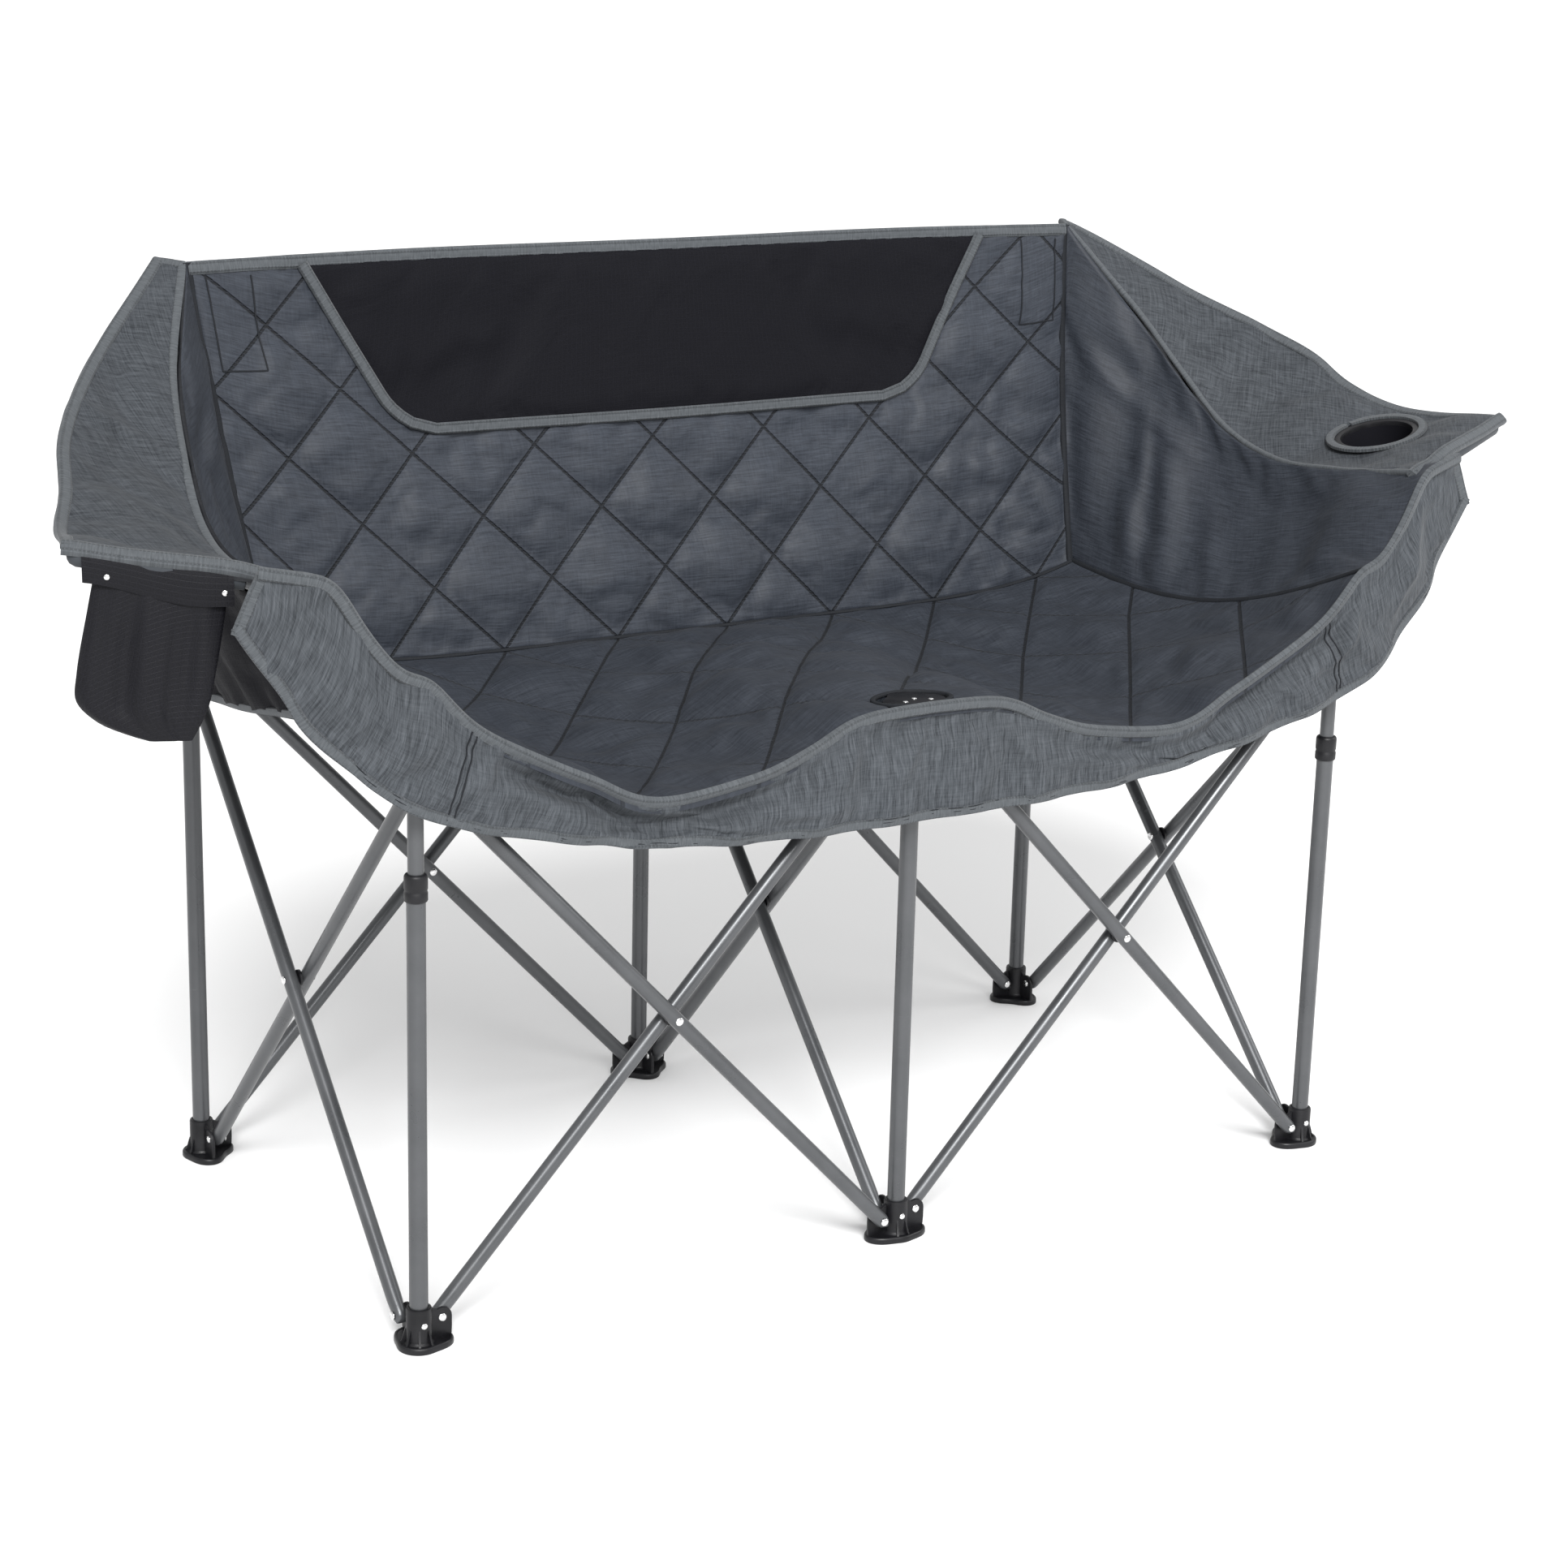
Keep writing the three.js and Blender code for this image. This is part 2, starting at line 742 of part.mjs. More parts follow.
const postAt = (column, row) => vector(column * postReach, row * halfRow, 0);
[["front", -1], ["rear", 1]].forEach(([name, row]) => {
  crossedPair(`${name}_left`, postAt(-1, row), postAt(0, row), rearward, 1);
  crossedPair(`${name}_right`, postAt(0, row), postAt(1, row), rearward, 1);
});
[["left", -1], ["middle", 0], ["right", 1]].forEach(([name, column]) => {
  crossedPair(`side_${name}`, postAt(column, -1), postAt(column, 1), rightward, -1);
});

// Arm tubes: straight in the corner post, then bent outward and along the arm's front hem
const hemDrop = armThickness / 2 + slideRadius / 2;
const hemLine = (share) =>
  armFrontInner.clone().lerp(armFrontOuter, share).add(vector(0, hemDrop, -hemDrop));
function armTubePath(end) {
  const bend = new THREE.CatmullRomCurve3(
    [
      vector(postReach, -halfRow, armBendStart),
      vector(postReach + armLeanOut, -halfRow + armElbowForward, armLeanHeight),
      vector(postReach + armElbowOut, -halfRow + armElbowForward, armElbowHeight),
      hemLine(hemStart),
    ],
    false,
    "centripetal",
  );
  return [vector(postReach, -halfRow, slideFoot), ...bend.getPoints(armBends), hemLine(end)];
}
const armTubeRings = (radius, end) => ringsAlong(armTubePath(end), rearward, radius, tubeSides);
const armTube = skinned(armTubeRings(slideRadius, hemEnd), armTubeRings(slideRadius - slideWall, hemEnd));
addMesh("arm_tube_right", armTube, "paint");
addMesh("arm_tube_left", mirrored(armTube), "paint");

// Cover surfaces

const frontRise = reading(frontEdgeShares);
const bay = (x) => Math.sin((Math.PI * x) / columnSpacing) ** 2;

// A point of the seat's top: u from -1 to 1 across, v from 0 at the front to 1 at the crease
function seatPoint(u, v) {
  const reach = Math.abs(u);
  const x = u * lerp(seatFrontHalf, seatRearHalf, v);
  const rear = creaseY - creaseCornerForward * reach ** 4;
  const y = lerp(seatFront, rear, v);
  const front = seatHeight + frontDip * frontRise(reach);
  const crease = creaseHeight + creaseCornerRise * reach ** 6;
  const sag = Math.sin(Math.PI * v) * (baySag * bay(x) + seatSideSag * reach ** 5);
  return vector(x, y, lerp(front, crease, v) - sag);
}

// Quilting swells between its crossing seams. x is taken where the cover is widest, and rise counts
// diamonds up from the crease, where seams cross halfway between those of the row above.
const swell = (phase) => Math.abs(Math.sin(Math.PI * phase)) ** quiltFullness;
const quilting = (x, rise) => {
  const across = x / diamondWidth + 1 / (2 * cellsPerDiamond);
  const up = rise - creaseShift;
  return swell(across + up) * swell(across - up);
};

// The way to cut a grid cell in two so that a seam runs along the cut; row counts up from the crease
const seamAcross = (column, row) => (column - seatColumns / 2 + row) % cellsPerDiamond === 0;

// Half of the seat, with the crease a number of grid rows behind it
function seatHalf(from, to, gridRows, rowsBehind, gapFront, gapRear) {
  const shareAcross = (s) => {
    const x = ((s - 1 / 2) * seatColumns * diamondWidth) / cellsPerDiamond;
    return THREE.MathUtils.clamp(x / seatFrontHalf, -1, 1);
  };
  const place = (s, t) => {
    const point = seatPoint(shareAcross(s), lerp(from, to, t));
    if (t === 0) point.y += gapFront;
    if (t === 1) point.y -= gapRear;
    return point;
  };
  const crown = (s, t) => {
    const down = (rowsBehind + gridRows * (1 - t)) / cellsPerDiamond;
    const ends = Math.min(1, Math.sin(Math.PI * lerp(from, to, t)) * seatEndEase);
    return seatCrown * quilting(shareAcross(s) * seatFrontHalf, -down) * ends;
  };
  const top = (s, t) => place(s, t).add(vector(0, 0, s > 0 && s < 1 ? crown(s, t) : 0));
  const under = (s, t) => place(s, t).add(vector(0, 0, -seatThickness));
  return slab(seatColumns, gridRows, top, under, (i, j) => seamAcross(i, j - gridRows - rowsBehind));
}

const splitShare = (seatSplit - seatFront) / (creaseY - seatFront);
const notch = rod(
  vector(0, -halfRow, seatHeight - seatThickness - cutOverrun),
  vector(0, -halfRow, seatHeight + seatThickness + cutOverrun),
  hubNotchRadius,
  soleSides,
);
const frontHalf = seatHalf(0, splitShare, seatFrontRows, seatRearRows, 0, seamGap / 2);
const seatFrontSolid = solidFrom(frontHalf);
addMesh("seat_front", geometryFrom(seatFrontSolid.subtract(solidFrom(notch))), "quilt");
addMesh("seat_rear", seatHalf(splitShare, 1, seatRearRows, 0, seamGap / 2, 0), "quilt");

// A point of the back's face: u from -1 to 1 across, w from 0 at the crease to 1 at the top
function backPoint(u, w) {
  const foot = seatPoint(u, 1);
  const reach = Math.abs(u);
  const x = lerp(foot.x, u * backTopHalf, w);
  const top = lerp(backTopHeight, backSeamTop, reach ** 4);
  const bayBow = w * backBayBow * bay(x) * Math.min(1, bowEase * (1 - w) + 1 / 2);
  const bow = Math.sin(Math.PI * w) * backBow + bayBow;
  const y = lerp(foot.y + seamGap, backTopY, w) + bow;
  return vector(x, y, lerp(foot.z, top, w));
}

// The quilting lies flat under the head panel and for a grid cell round it
const headMargin = (headMarginCells * 2 * backTopHalf) / backColumns;
const nearHead = (x, z) => {
  const share = (z - headBottom) / (headTop - headBottom);
  const half = lerp(headBottomHalf, headTopHalf, share);
  return z > headBottom - headMargin && Math.abs(x) < half + headMargin;
};

function backCrownAt(point, u, w) {
  if (nearHead(point.x, point.z)) return 0;
  const edge = Math.min(1, backEndEase * w, backEndEase * (1 - w));
  return backCrown * edge * quilting(u * backTopHalf, (w * backRows) / cellsPerDiamond);
}

const backFace = (s, t) => {
  const u = lerp(-1, 1, s);
  const point = backPoint(u, t);
  const edge = Math.min(1, backSideEase * (1 - Math.abs(u)));
  return point.add(vector(0, -backCrownAt(point, u, t) * edge, 0));
};
const backRear = (s, t) => backPoint(lerp(-1, 1, s), t).add(vector(0, backThickness, -backThickness / 4));
const backSlab = slab(backColumns, backRows, backFace, backRear, seamAcross);

// Sewn sleeves, round behind the posts and flat where they join the back
const sleeveOuter = postRadius + runningGap + sleeveWall;
const rearPosts = [-postReach, 0, postReach];
const sleeves = rearPosts.map((x) => {
  const outline = new THREE.Shape();
  outline.moveTo(x - sleeveOuter, halfRow - sleeveReach);
  outline.lineTo(x + sleeveOuter, halfRow - sleeveReach);
  outline.absarc(x, halfRow, sleeveOuter, 0, Math.PI, false);
  outline.closePath();
  const depth = sleeveTop - sleeveFoot;
  const tube = new THREE.ExtrudeGeometry(outline, {
    depth,
    bevelEnabled: false,
    curveSegments: sleeveSides,
  });
  return tube.translate(0, 0, sleeveFoot);
});
const tunnels = rearPosts.map((x) =>
  rod(
    vector(x, halfRow, hubPivotHeight),
    vector(x, halfRow, rearPostTop + runningGap),
    postRadius + runningGap,
    tubeSides,
  ),
);
const backSolid = join([backSlab, ...sleeves]).subtract(join(tunnels));
addMesh("back_panel", geometryFrom(backSolid), "quilt");

// The head panel follows the back's face a seam's gap in front of it
const headFace = (s, t) => backPoint(lerp(-1, 1, s), t).add(vector(0, -seamGap - headThickness, 0));
const headRear = (s, t) => backPoint(lerp(-1, 1, s), t).add(vector(0, -seamGap, 0));
function headOutline() {
  const shape = new THREE.Shape();
  const cornerTop = headBottom + headCorner;
  const cornerOut = headBottomHalf + headCorner / 2;
  shape.moveTo(-headTopHalf, headTop);
  shape.lineTo(-cornerOut, cornerTop);
  shape.quadraticCurveTo(-headBottomHalf, headBottom, -headBottomHalf + headCorner, headBottom);
  shape.lineTo(headBottomHalf - headCorner, headBottom);
  shape.quadraticCurveTo(headBottomHalf, headBottom, cornerOut, cornerTop);
  shape.lineTo(headTopHalf, headTop);
  shape.closePath();
  const prism = new THREE.ExtrudeGeometry(shape, {
    depth: rowSpacing,
    bevelEnabled: false,
    curveSegments: headCornerSides,
  });
  return prism.rotateX(Math.PI / 2).translate(0, rowSpacing, 0);
}
const headSolid = solidFrom(slab(backColumns, backRows, headFace, headRear, seamAcross));
addMesh("head_panel", geometryFrom(headSolid.intersect(solidFrom(headOutline()))), "black");

// Arm and side panels, made for the right and mirrored for the left

function edgeCurve(from, to, shares) {
  const curve = new THREE.CatmullRomCurve3(
    shares.map(([x, y, z]) =>
      vector(lerp(from.x, to.x, x), lerp(from.y, to.y, y), lerp(from.z, to.z, z)),
    ),
    false,
    "centripetal",
  );
  return (share) => curve.getPoint(share);
}
const armInner = edgeCurve(armFrontInner, armRearInner, armInnerShares);
const armOuter = edgeCurve(armFrontOuter, armRearOuter, armOuterShares);

// s runs from the front to the rear and t from the inner edge to the outer edge
const armPoint = (s, t) => armInner(s).lerp(armOuter(s), t);
const armTop = (s, t) => armPoint(s, t).add(vector(0, 0, armCrown * Math.sin(Math.PI * t)));
const armUnder = (s, t) => armPoint(s, t).add(vector(0, 0, -armThickness));
const armSlab = slab(armRows, armColumns, armUnder, armTop);
const hemRadius = slideRadius + runningGap + hemWall;
const hem = skinned(ringsAlong([hemLine(hemStart), hemLine(hemStop)], rearward, hemRadius, hemSides));
const hemBoreEnd = hemEnd + runningGap / hemLine(0).distanceTo(hemLine(1));
const hemBore = skinned(armTubeRings(slideRadius + runningGap, hemBoreEnd));

// The cup holder stands square to the arm's surface
const cupInner = armInner(cupShareS);
const cupOuter = armOuter(cupShareS);
const cupLift = armCrown + seamGap;
const cupShareT = (columnSpacing + cupOut - cupInner.x) / (cupOuter.x - cupInner.x);
const cupHeight = lerp(cupInner.z, cupOuter.z, cupShareT) + cupLift;
const cupCentre = besidePosts(cupOut, cupBack, cupHeight);
const cupAxis = cupInner.clone().sub(cupOuter).cross(vector(0, -1, 0)).normalize();
const cupHole = rod(
  cupCentre.clone().addScaledVector(cupAxis, -cutOverrun * 2),
  cupCentre.clone().addScaledVector(cupAxis, cutOverrun * 2),
  cupBore + cupRimWidth + seamGap,
  cupSides,
);

function armPanel(cuts) {
  let solid = join([armSlab, hem]).subtract(solidFrom(hemBore));
  cuts.forEach((cut) => {
    solid = solid.subtract(solidFrom(cut));
  });
  return geometryFrom(solid);
}
addMesh("arm_panel_right", armPanel([cupHole]), "heather");
addMesh("arm_panel_left", mirrored(armPanel([])), "heather");

addMesh(
  "cup_holder",
  turned(cupCentre, cupAxis, [
    [0, -cupDepth - cupWall],
    [cupBore - cupTaper + cupWall, -cupDepth - cupWall],
    [cupBore + cupWall, -cupRimHeight],
    [cupBore + cupRimWidth, -cupRimHeight],
    [cupBore + cupRimWidth, -cupWall / 2],
    [cupBore + cupRimWidth - cupWall, 0],
    [cupBore + cupWall, 0],
    [cupBore, -cupWall / 2],
    [cupBore - cupTaper, -cupDepth],
    [0, -cupDepth],
  ], cupSides),
  "black",
);

// The side panel rises from the seat's side seam to the arm's inner edge
function sidePoint(s, t) {
  const foot = seatPoint(1, s).add(vector(seamGap, 0, 0));
  const head = armInner(s).add(vector(-sideThickness - seamGap, 0, 0));
  const bulge = sideBulge * Math.sin(Math.PI * t) * Math.sin(Math.PI * s);
  const fold = sideFold * Math.sin(Math.PI * t) * Math.sin(2 * Math.PI * sideFoldCount * s) * s;
  return foot.lerp(head, t).add(vector(bulge + fold, 0, 0));
}
const sideOuter = (s, t) => sidePoint(s, t).add(vector(sideThickness, 0, 0));
const sidePanel = slab(sideColumns, sideRows, sideOuter, sidePoint);
addMesh("side_panel_right", sidePanel, "quilt");
addMesh("side_panel_left", mirrored(sidePanel), "quilt");

// The valance hangs from the seat's front edge and the arms' front edges in soft folds
const valanceRise = reading(valanceFootShares);
const valanceCorner = reading(valanceTopShares);
const valanceReach = valanceOuterTop.x;
function valanceTop(reach) {
  const x = reach * valanceReach;
  const seatEdge = seatPoint(Math.min(1, x / seatFrontHalf), 0);
  const y = seatFront - seamGap;
  if (x <= seatFrontHalf) return vector(x, y, seatEdge.z);
  const share = (x - seatFrontHalf) / (valanceReach - seatFrontHalf);
  const rise = valanceCorner(share);
  return vector(x, lerp(y, valanceOuterTop.y, share ** 2), lerp(seatEdge.z, valanceOuterTop.z, rise));
}
function valancePoint(u, t) {
  const reach = Math.abs(u);
  const turn = THREE.MathUtils.smoothstep(reach, valanceTurnShare, 1);
  const footY = lerp(seatFront - seamGap, valanceOuterFoot.y, turn);
  const footZ = lerp(valanceFootHeight, valanceOuterFoot.z, valanceRise(reach));
  const hem = vector(reach * valanceOuterFoot.x, footY, footZ);
  const fold = valanceFold * (1 - t) * Math.sin(Math.PI * valanceFoldCount * u) ** 2;
  const point = hem.lerp(valanceTop(reach), t).add(vector(0, -fold, 0));
  return u < 0 ? point.setX(-point.x) : point;
}
const valanceFront = (s, t) => valancePoint(lerp(-1, 1, s), t).add(vector(0, -valanceThickness, 0));
const valanceBack = (s, t) => valancePoint(lerp(-1, 1, s), t);
addMesh("front_valance", slab(valanceColumns, valanceRows, valanceFront, valanceBack), "heather");

// Black outer side panels hang from the arms, outside the frame
function outerPoint(s, t) {
  const foot = outerSideFront.clone().lerp(outerSideRear, s);
  const head = armPoint(lerp(outerSideFrontShare, outerSideRearShare, s), outerSideTopShare);
  head.z -= armThickness + outerSideDrop;
  return foot.lerp(head, t);
}
const outerFace = (s, t) => outerPoint(s, t).add(vector(outerSideThickness, 0, 0));
const outerSide = slab(outerSideColumns, outerSideRows, outerFace, outerPoint);
addMesh("outer_side_right", outerSide, "black");
addMesh("outer_side_left", mirrored(outerSide), "black");

// The side pocket: a pouch sewn under the left arm's front hem, open at the rear of its top
const hemAlong = hemLine(1).sub(hemLine(0)).setZ(0).normalize();
const hemForward = hemAlong.clone().cross(upward);
const hemUnder = (x) => {
  const share = (x - armFrontInner.x) / (armFrontOuter.x - armFrontInner.x);
  return hemLine(share).z - hemRadius - seamGap;
};
function pouch(inset, depth, bevel) {
  const start = hemLine(0);
  const across = (x) => (x - start.x) / hemAlong.x;
  const points = pocketShares.map(([xShare, zShare]) => {
    const x = lerp(pocketInner, pocketOuter, xShare);
    return new THREE.Vector2(across(x), lerp(pocketFoot, hemUnder(x), zShare));
  });
  const geometry = new THREE.ExtrudeGeometry(new THREE.Shape(points), {
    depth: depth - bevel * 2,
    bevelThickness: bevel,
    bevelSize: bevel,
    bevelOffset: -bevel - inset,
    bevelSegments: 1,
    steps: 1,
  });
  geometry.translate(0, 0, bevel + pocketForward - pocketDepth + inset);
  geometry.applyMatrix4(new THREE.Matrix4().makeBasis(hemAlong, upward, hemForward));
  return geometry.translate(start.x, start.y, 0);
}
const pouchOuter = solidFrom(pouch(0, pocketDepth, pocketBevel));
const pouchInner = solidFrom(pouch(pocketWall, pocketDepth - pocketWall * 2, pocketBevel / 2));
const mouthCentre = hemLine(pocketMouthShare).addScaledVector(hemForward, pocketForward - pocketDepth);
const mouth = new THREE.BoxGeometry(pocketMouthWidth, pocketDepth, pocketMouthHeight);
mouth.applyMatrix4(new THREE.Matrix4().makeBasis(hemAlong, hemForward.clone().negate(), upward));
mouth.translate(mouthCentre.x, mouthCentre.y, hemUnder(mouthCentre.x) - pocketMouthHeight / 2 - pocketWall);
const pocket = geometryFrom(pouchOuter.subtract(pouchInner).subtract(solidFrom(mouth)));
addMesh("side_pocket", mirrored(pocket), "black");

export default loveseat;
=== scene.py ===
"""Looks of the folding camping loveseat: fine tubes and mouldings, and the sewn cover over the CAD frame."""

from math import copysign, cos, exp, pi, radians, sin, sqrt
import bpy
import numpy as np
from mathutils import Matrix, Vector


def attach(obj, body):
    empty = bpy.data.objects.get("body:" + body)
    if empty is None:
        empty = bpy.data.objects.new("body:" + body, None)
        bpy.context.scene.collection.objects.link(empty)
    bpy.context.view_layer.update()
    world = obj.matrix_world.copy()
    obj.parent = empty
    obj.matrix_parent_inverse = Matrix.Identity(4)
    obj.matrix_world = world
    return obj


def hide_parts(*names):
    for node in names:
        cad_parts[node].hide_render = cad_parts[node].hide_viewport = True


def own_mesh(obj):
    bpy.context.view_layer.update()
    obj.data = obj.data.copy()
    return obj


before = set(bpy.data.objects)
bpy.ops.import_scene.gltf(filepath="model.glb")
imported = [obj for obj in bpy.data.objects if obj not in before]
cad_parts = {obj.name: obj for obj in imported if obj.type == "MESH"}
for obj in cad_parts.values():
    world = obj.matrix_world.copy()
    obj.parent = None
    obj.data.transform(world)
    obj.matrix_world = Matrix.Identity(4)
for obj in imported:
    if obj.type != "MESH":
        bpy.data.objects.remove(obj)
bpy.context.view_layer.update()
scene = bpy.context.scene
MM = 0.001

# Sizes of the frame, in millimetres, as in the part
COLUMN, HALF_ROW = 570.0, 285.0
FOOT_PIVOT, HUB_PIVOT, INSET = 27.0, 575.0, 25.0
POST_R, BAR_R, SLIDE_R = 9.5, 8.0, 8.0
EAR_HALF, EAR_GAP, PIN_R = 1.7, 0.3, 2.2
BAR_FLAT = BAR_R * cos(pi / 8)
BAR_OFFSET = EAR_HALF + EAR_GAP + BAR_FLAT
RIVET_REACH = BAR_OFFSET + BAR_FLAT + 0.1

# Camera at the photograph's place, in metres
CAMERA_PLACE, LENS, SENSOR = (-1.8446, -2.9705, 1.4283), 74.29, 36.0
AZ, EL, ROLL = radians(-32.15), radians(15.8), radians(1.45)
back = np.array([sin(AZ) * cos(EL), -cos(AZ) * cos(EL), sin(EL)])
right = np.cross([0, 0, 1], back)
right /= np.linalg.norm(right)
up = np.cross(back, right)
cam_x = cos(ROLL) * right + sin(ROLL) * up
cam_y = -sin(ROLL) * right + cos(ROLL) * up
camera = bpy.data.objects.new("camera", bpy.data.cameras.new("camera"))
scene.collection.objects.link(camera)
camera.data.lens = LENS
camera.data.sensor_width = SENSOR
camera.data.clip_end = 60
place = Matrix((cam_x, cam_y, back)).transposed().to_4x4()
place.translation = CAMERA_PLACE
camera.matrix_world = place
scene.camera = camera


# Materials
class Shade:
    """A small helper that builds node trees."""

    def __init__(self, name):
        self.mat = bpy.data.materials.new(name)
        self.mat.use_nodes = True
        self.tree = self.mat.node_tree
        self.tree.nodes.clear()
        self.out = self.node("ShaderNodeOutputMaterial")
        self.bsdf = self.node("ShaderNodeBsdfPrincipled")
        self.link(self.bsdf.outputs[0], self.out.inputs["Surface"])

    def node(self, kind, **values):
        n = self.tree.nodes.new(kind)
        for key, value in values.items():
            setattr(n, key, value)
        return n

    def link(self, a, b):
        self.tree.links.new(a, b)

    def put(self, socket, value):
        if hasattr(value, "is_output"):
            self.link(value, socket)
        elif value is not None:
            socket.default_value = value

    def uv(self, name):
        return self.node("ShaderNodeUVMap", uv_map=name).outputs[0]

    def place(self):
        return self.node("ShaderNodeTexCoord").outputs["Object"]

    def scaled(self, vector, scale, turn=0.0):
        m = self.node("ShaderNodeMapping")
        self.put(m.inputs["Vector"], vector)
        m.inputs["Scale"].default_value = scale
        m.inputs["Rotation"].default_value = (0, 0, turn)
        return m.outputs[0]

    def noise(self, vector, scale, detail=2.0, rough=0.5, distortion=0.0):
        n = self.node("ShaderNodeTexNoise")
        if isinstance(scale, tuple):
            vector, scale = self.scaled(vector, scale), 1.0
        self.put(n.inputs["Vector"], vector)
        values = {"Scale": scale, "Detail": detail, "Roughness": rough, "Distortion": distortion}
        for name, value in values.items():
            n.inputs[name].default_value = value
        return n.outputs[0]

    def math(self, op, a, b=None):
        n = self.node("ShaderNodeMath", operation=op)
        self.put(n.inputs[0], a)
        self.put(n.inputs[1], b)
        return n.outputs[0]

    def add(self, a, b):
        return self.math("ADD", a, b)

    def mul(self, a, b):
        return self.math("MULTIPLY", a, b)

    def triangle(self, value, period):
        """Rises from 0 to 0.5 and falls back once in each period."""
        return self.math("PINGPONG", self.mul(value, 1 / period), 0.5)

    def spread(self, value, lo, hi, to_lo=0.0, to_hi=1.0):
        """Takes the range from lo to hi smoothly to the range from to_lo to to_hi."""
        n = self.node("ShaderNodeMapRange", interpolation_type="SMOOTHSTEP")
        for socket, v in zip(n.inputs, (value, lo, hi, to_lo, to_hi)):
            self.put(socket, v)
        return n.outputs[0]

    def ramp(self, value, stops):
        n = self.node("ShaderNodeValToRGB")
        self.put(n.inputs[0], value)
        e = n.color_ramp.elements
        while len(e) < len(stops):
            e.new(0.5)
        for item, (at, colour) in zip(e, stops):
            item.position, item.color = at, (*colour, 1)
        return n.outputs[0]

    def mix(self, factor, a, b, blend="MIX"):
        n = self.node("ShaderNodeMix", data_type="RGBA", blend_type=blend)
        self.put(n.inputs[0], factor)
        for socket, v in ((n.inputs[6], a), (n.inputs[7], b)):
            self.put(socket, (*v, 1) if isinstance(v, tuple) and len(v) == 3 else v)
        return n.outputs[2]

    def bump(self, height, distance, strength=1.0, normal=None):
        n = self.node("ShaderNodeBump")
        n.inputs["Distance"].default_value = distance
        n.inputs["Strength"].default_value = strength
        self.put(n.inputs["Height"], height)
        self.put(n.inputs["Normal"], normal)
        return n.outputs[0]

    def xy(self, vector):
        n = self.node("ShaderNodeSeparateXYZ")
        self.put(n.inputs[0], vector)
        return n.outputs[0], n.outputs[1]

    def surface(self, inputs):
        """Ends the material: each input of its shader is a number, a colour or another node's output."""
        for name, value in inputs.items():
            self.put(self.bsdf.inputs[name], value)
        return self.mat


def cloth_material(name, dark, light, rough, sheen, cross=0.5, turn=0.0, slubs=1.0, period=None, faint=1.0):
    """Woven cloth on the map "flat", in metres. cross is the share of slubs along its width, and turn is their
    angle. period adds seams on the map "quilt", which counts them; the seams are darkened, partly for their
    dark thread and partly as painted shade in their grooves. faint weakens the first family."""
    s = Shade(name)
    flat = s.scaled(s.uv("flat"), (1, 1, 1), turn)
    parts = []
    for share, scale in ((cross, (24, 400, 1)), (1 - cross, (400, 24, 1))):
        coarse = s.noise(flat, scale, 3.0, 0.65)
        fine = s.noise(flat, tuple(3.4 * c for c in scale), 2.0, 0.6)
        parts.append(s.add(s.mul(coarse, 0.62 * share), s.mul(fine, 0.38 * share)))
    thread = s.add(*parts)
    width = 0.14 / slubs
    colour = s.ramp(thread, [(0.5 - width, dark), (0.5 + width, light)])
    tone = s.noise(s.place(), 4.0, 3.0, 0.6)
    colour = s.mix(0.3, colour, s.ramp(tone, [(0.3, (0.66, 0.66, 0.66)), (0.7, (1, 1, 1))]), "MULTIPLY")
    normal = s.bump(thread, 0.0004, 0.6)
    normal = s.bump(s.noise(flat, (22, 17, 1), 2.0, 0.5, 0.4), 0.0045, 0.35, normal)
    if period:
        stitch = s.spread(s.triangle(s.xy(s.uv("flat"))[1], 0.0042), 0.1, 0.2)
        offs = [s.mul(s.math("PINGPONG", count, 0.5), period) for count in s.xy(s.uv("quilt"))]
        weak, strong = (s.spread(off, 0.0008, 0.0022, 1.0, 0.0) for off in offs)
        line = s.math("MAXIMUM", s.mul(weak, faint), strong)
        seam = s.mul(line, s.add(s.mul(stitch, 0.4), 0.6))
        # Darkens the seam lines: partly the stitches' dark thread, partly painted shade in the seams' grooves.
        colour = s.mix(s.mul(seam, 0.9), colour, tuple(0.25 * c for c in dark))
        pucker = s.noise(s.uv("flat"), (48, 48, 1), 2.0, 0.5, 0.6)
        gather = s.spread(s.math("MINIMUM", *offs), 0.002, 0.024, 1.0, 0.0)
        normal = s.bump(s.mul(pucker, gather), 0.005, 0.45, normal)
        normal = s.bump(s.mul(seam, -1.0), 0.0018, 1.0, normal)
    worn = s.spread(tone, 0.3, 0.7, rough - 0.06, rough + 0.08)
    return s.surface({"Base Color": colour, "Roughness": worn, "Specular IOR Level": 0.25,
                      "Sheen Weight": sheen, "Sheen Roughness": 0.45, "Normal": normal})


def tape_material(name, dark, light, edge):
    """Binding tape: fine cross ribs and a row of stitches near each edge. The map runs along and across."""
    s = Shade(name)
    flat = s.uv("flat")
    u, v = s.xy(flat)
    rib = s.triangle(u, 0.0014)
    slub = s.noise(flat, (500, 60, 1), 3.0, 0.6)
    body = s.ramp(s.add(s.mul(slub, 0.85), s.mul(rib, 0.2)), [(0.25, dark), (0.7, light)])
    wander = s.mul(s.noise(flat, (40, 1, 1)), 0.0008)
    place = s.math("SUBTRACT", s.math("ABSOLUTE", v), wander)
    off = s.math("ABSOLUTE", s.math("SUBTRACT", place, edge - 0.0004))
    line = s.mul(s.spread(off, 0.0003, 0.0009, 1.0, 0.0), s.spread(s.triangle(u, 0.0038), 0.1, 0.2))
    colour = s.mix(s.mul(line, 0.55), body, tuple(0.5 * c for c in dark))
    normal = s.bump(s.add(s.mul(rib, 0.12), s.spread(off, 0.0002, 0.0018, -1.0, 0.0)), 0.0008)
    normal = s.bump(s.noise(flat, (42, 90, 1)), 0.0022, 0.6, normal)
    return s.surface({"Base Color": colour, "Roughness": 0.8, "Specular IOR Level": 0.25,
                      "Sheen Weight": 0.08, "Normal": normal})


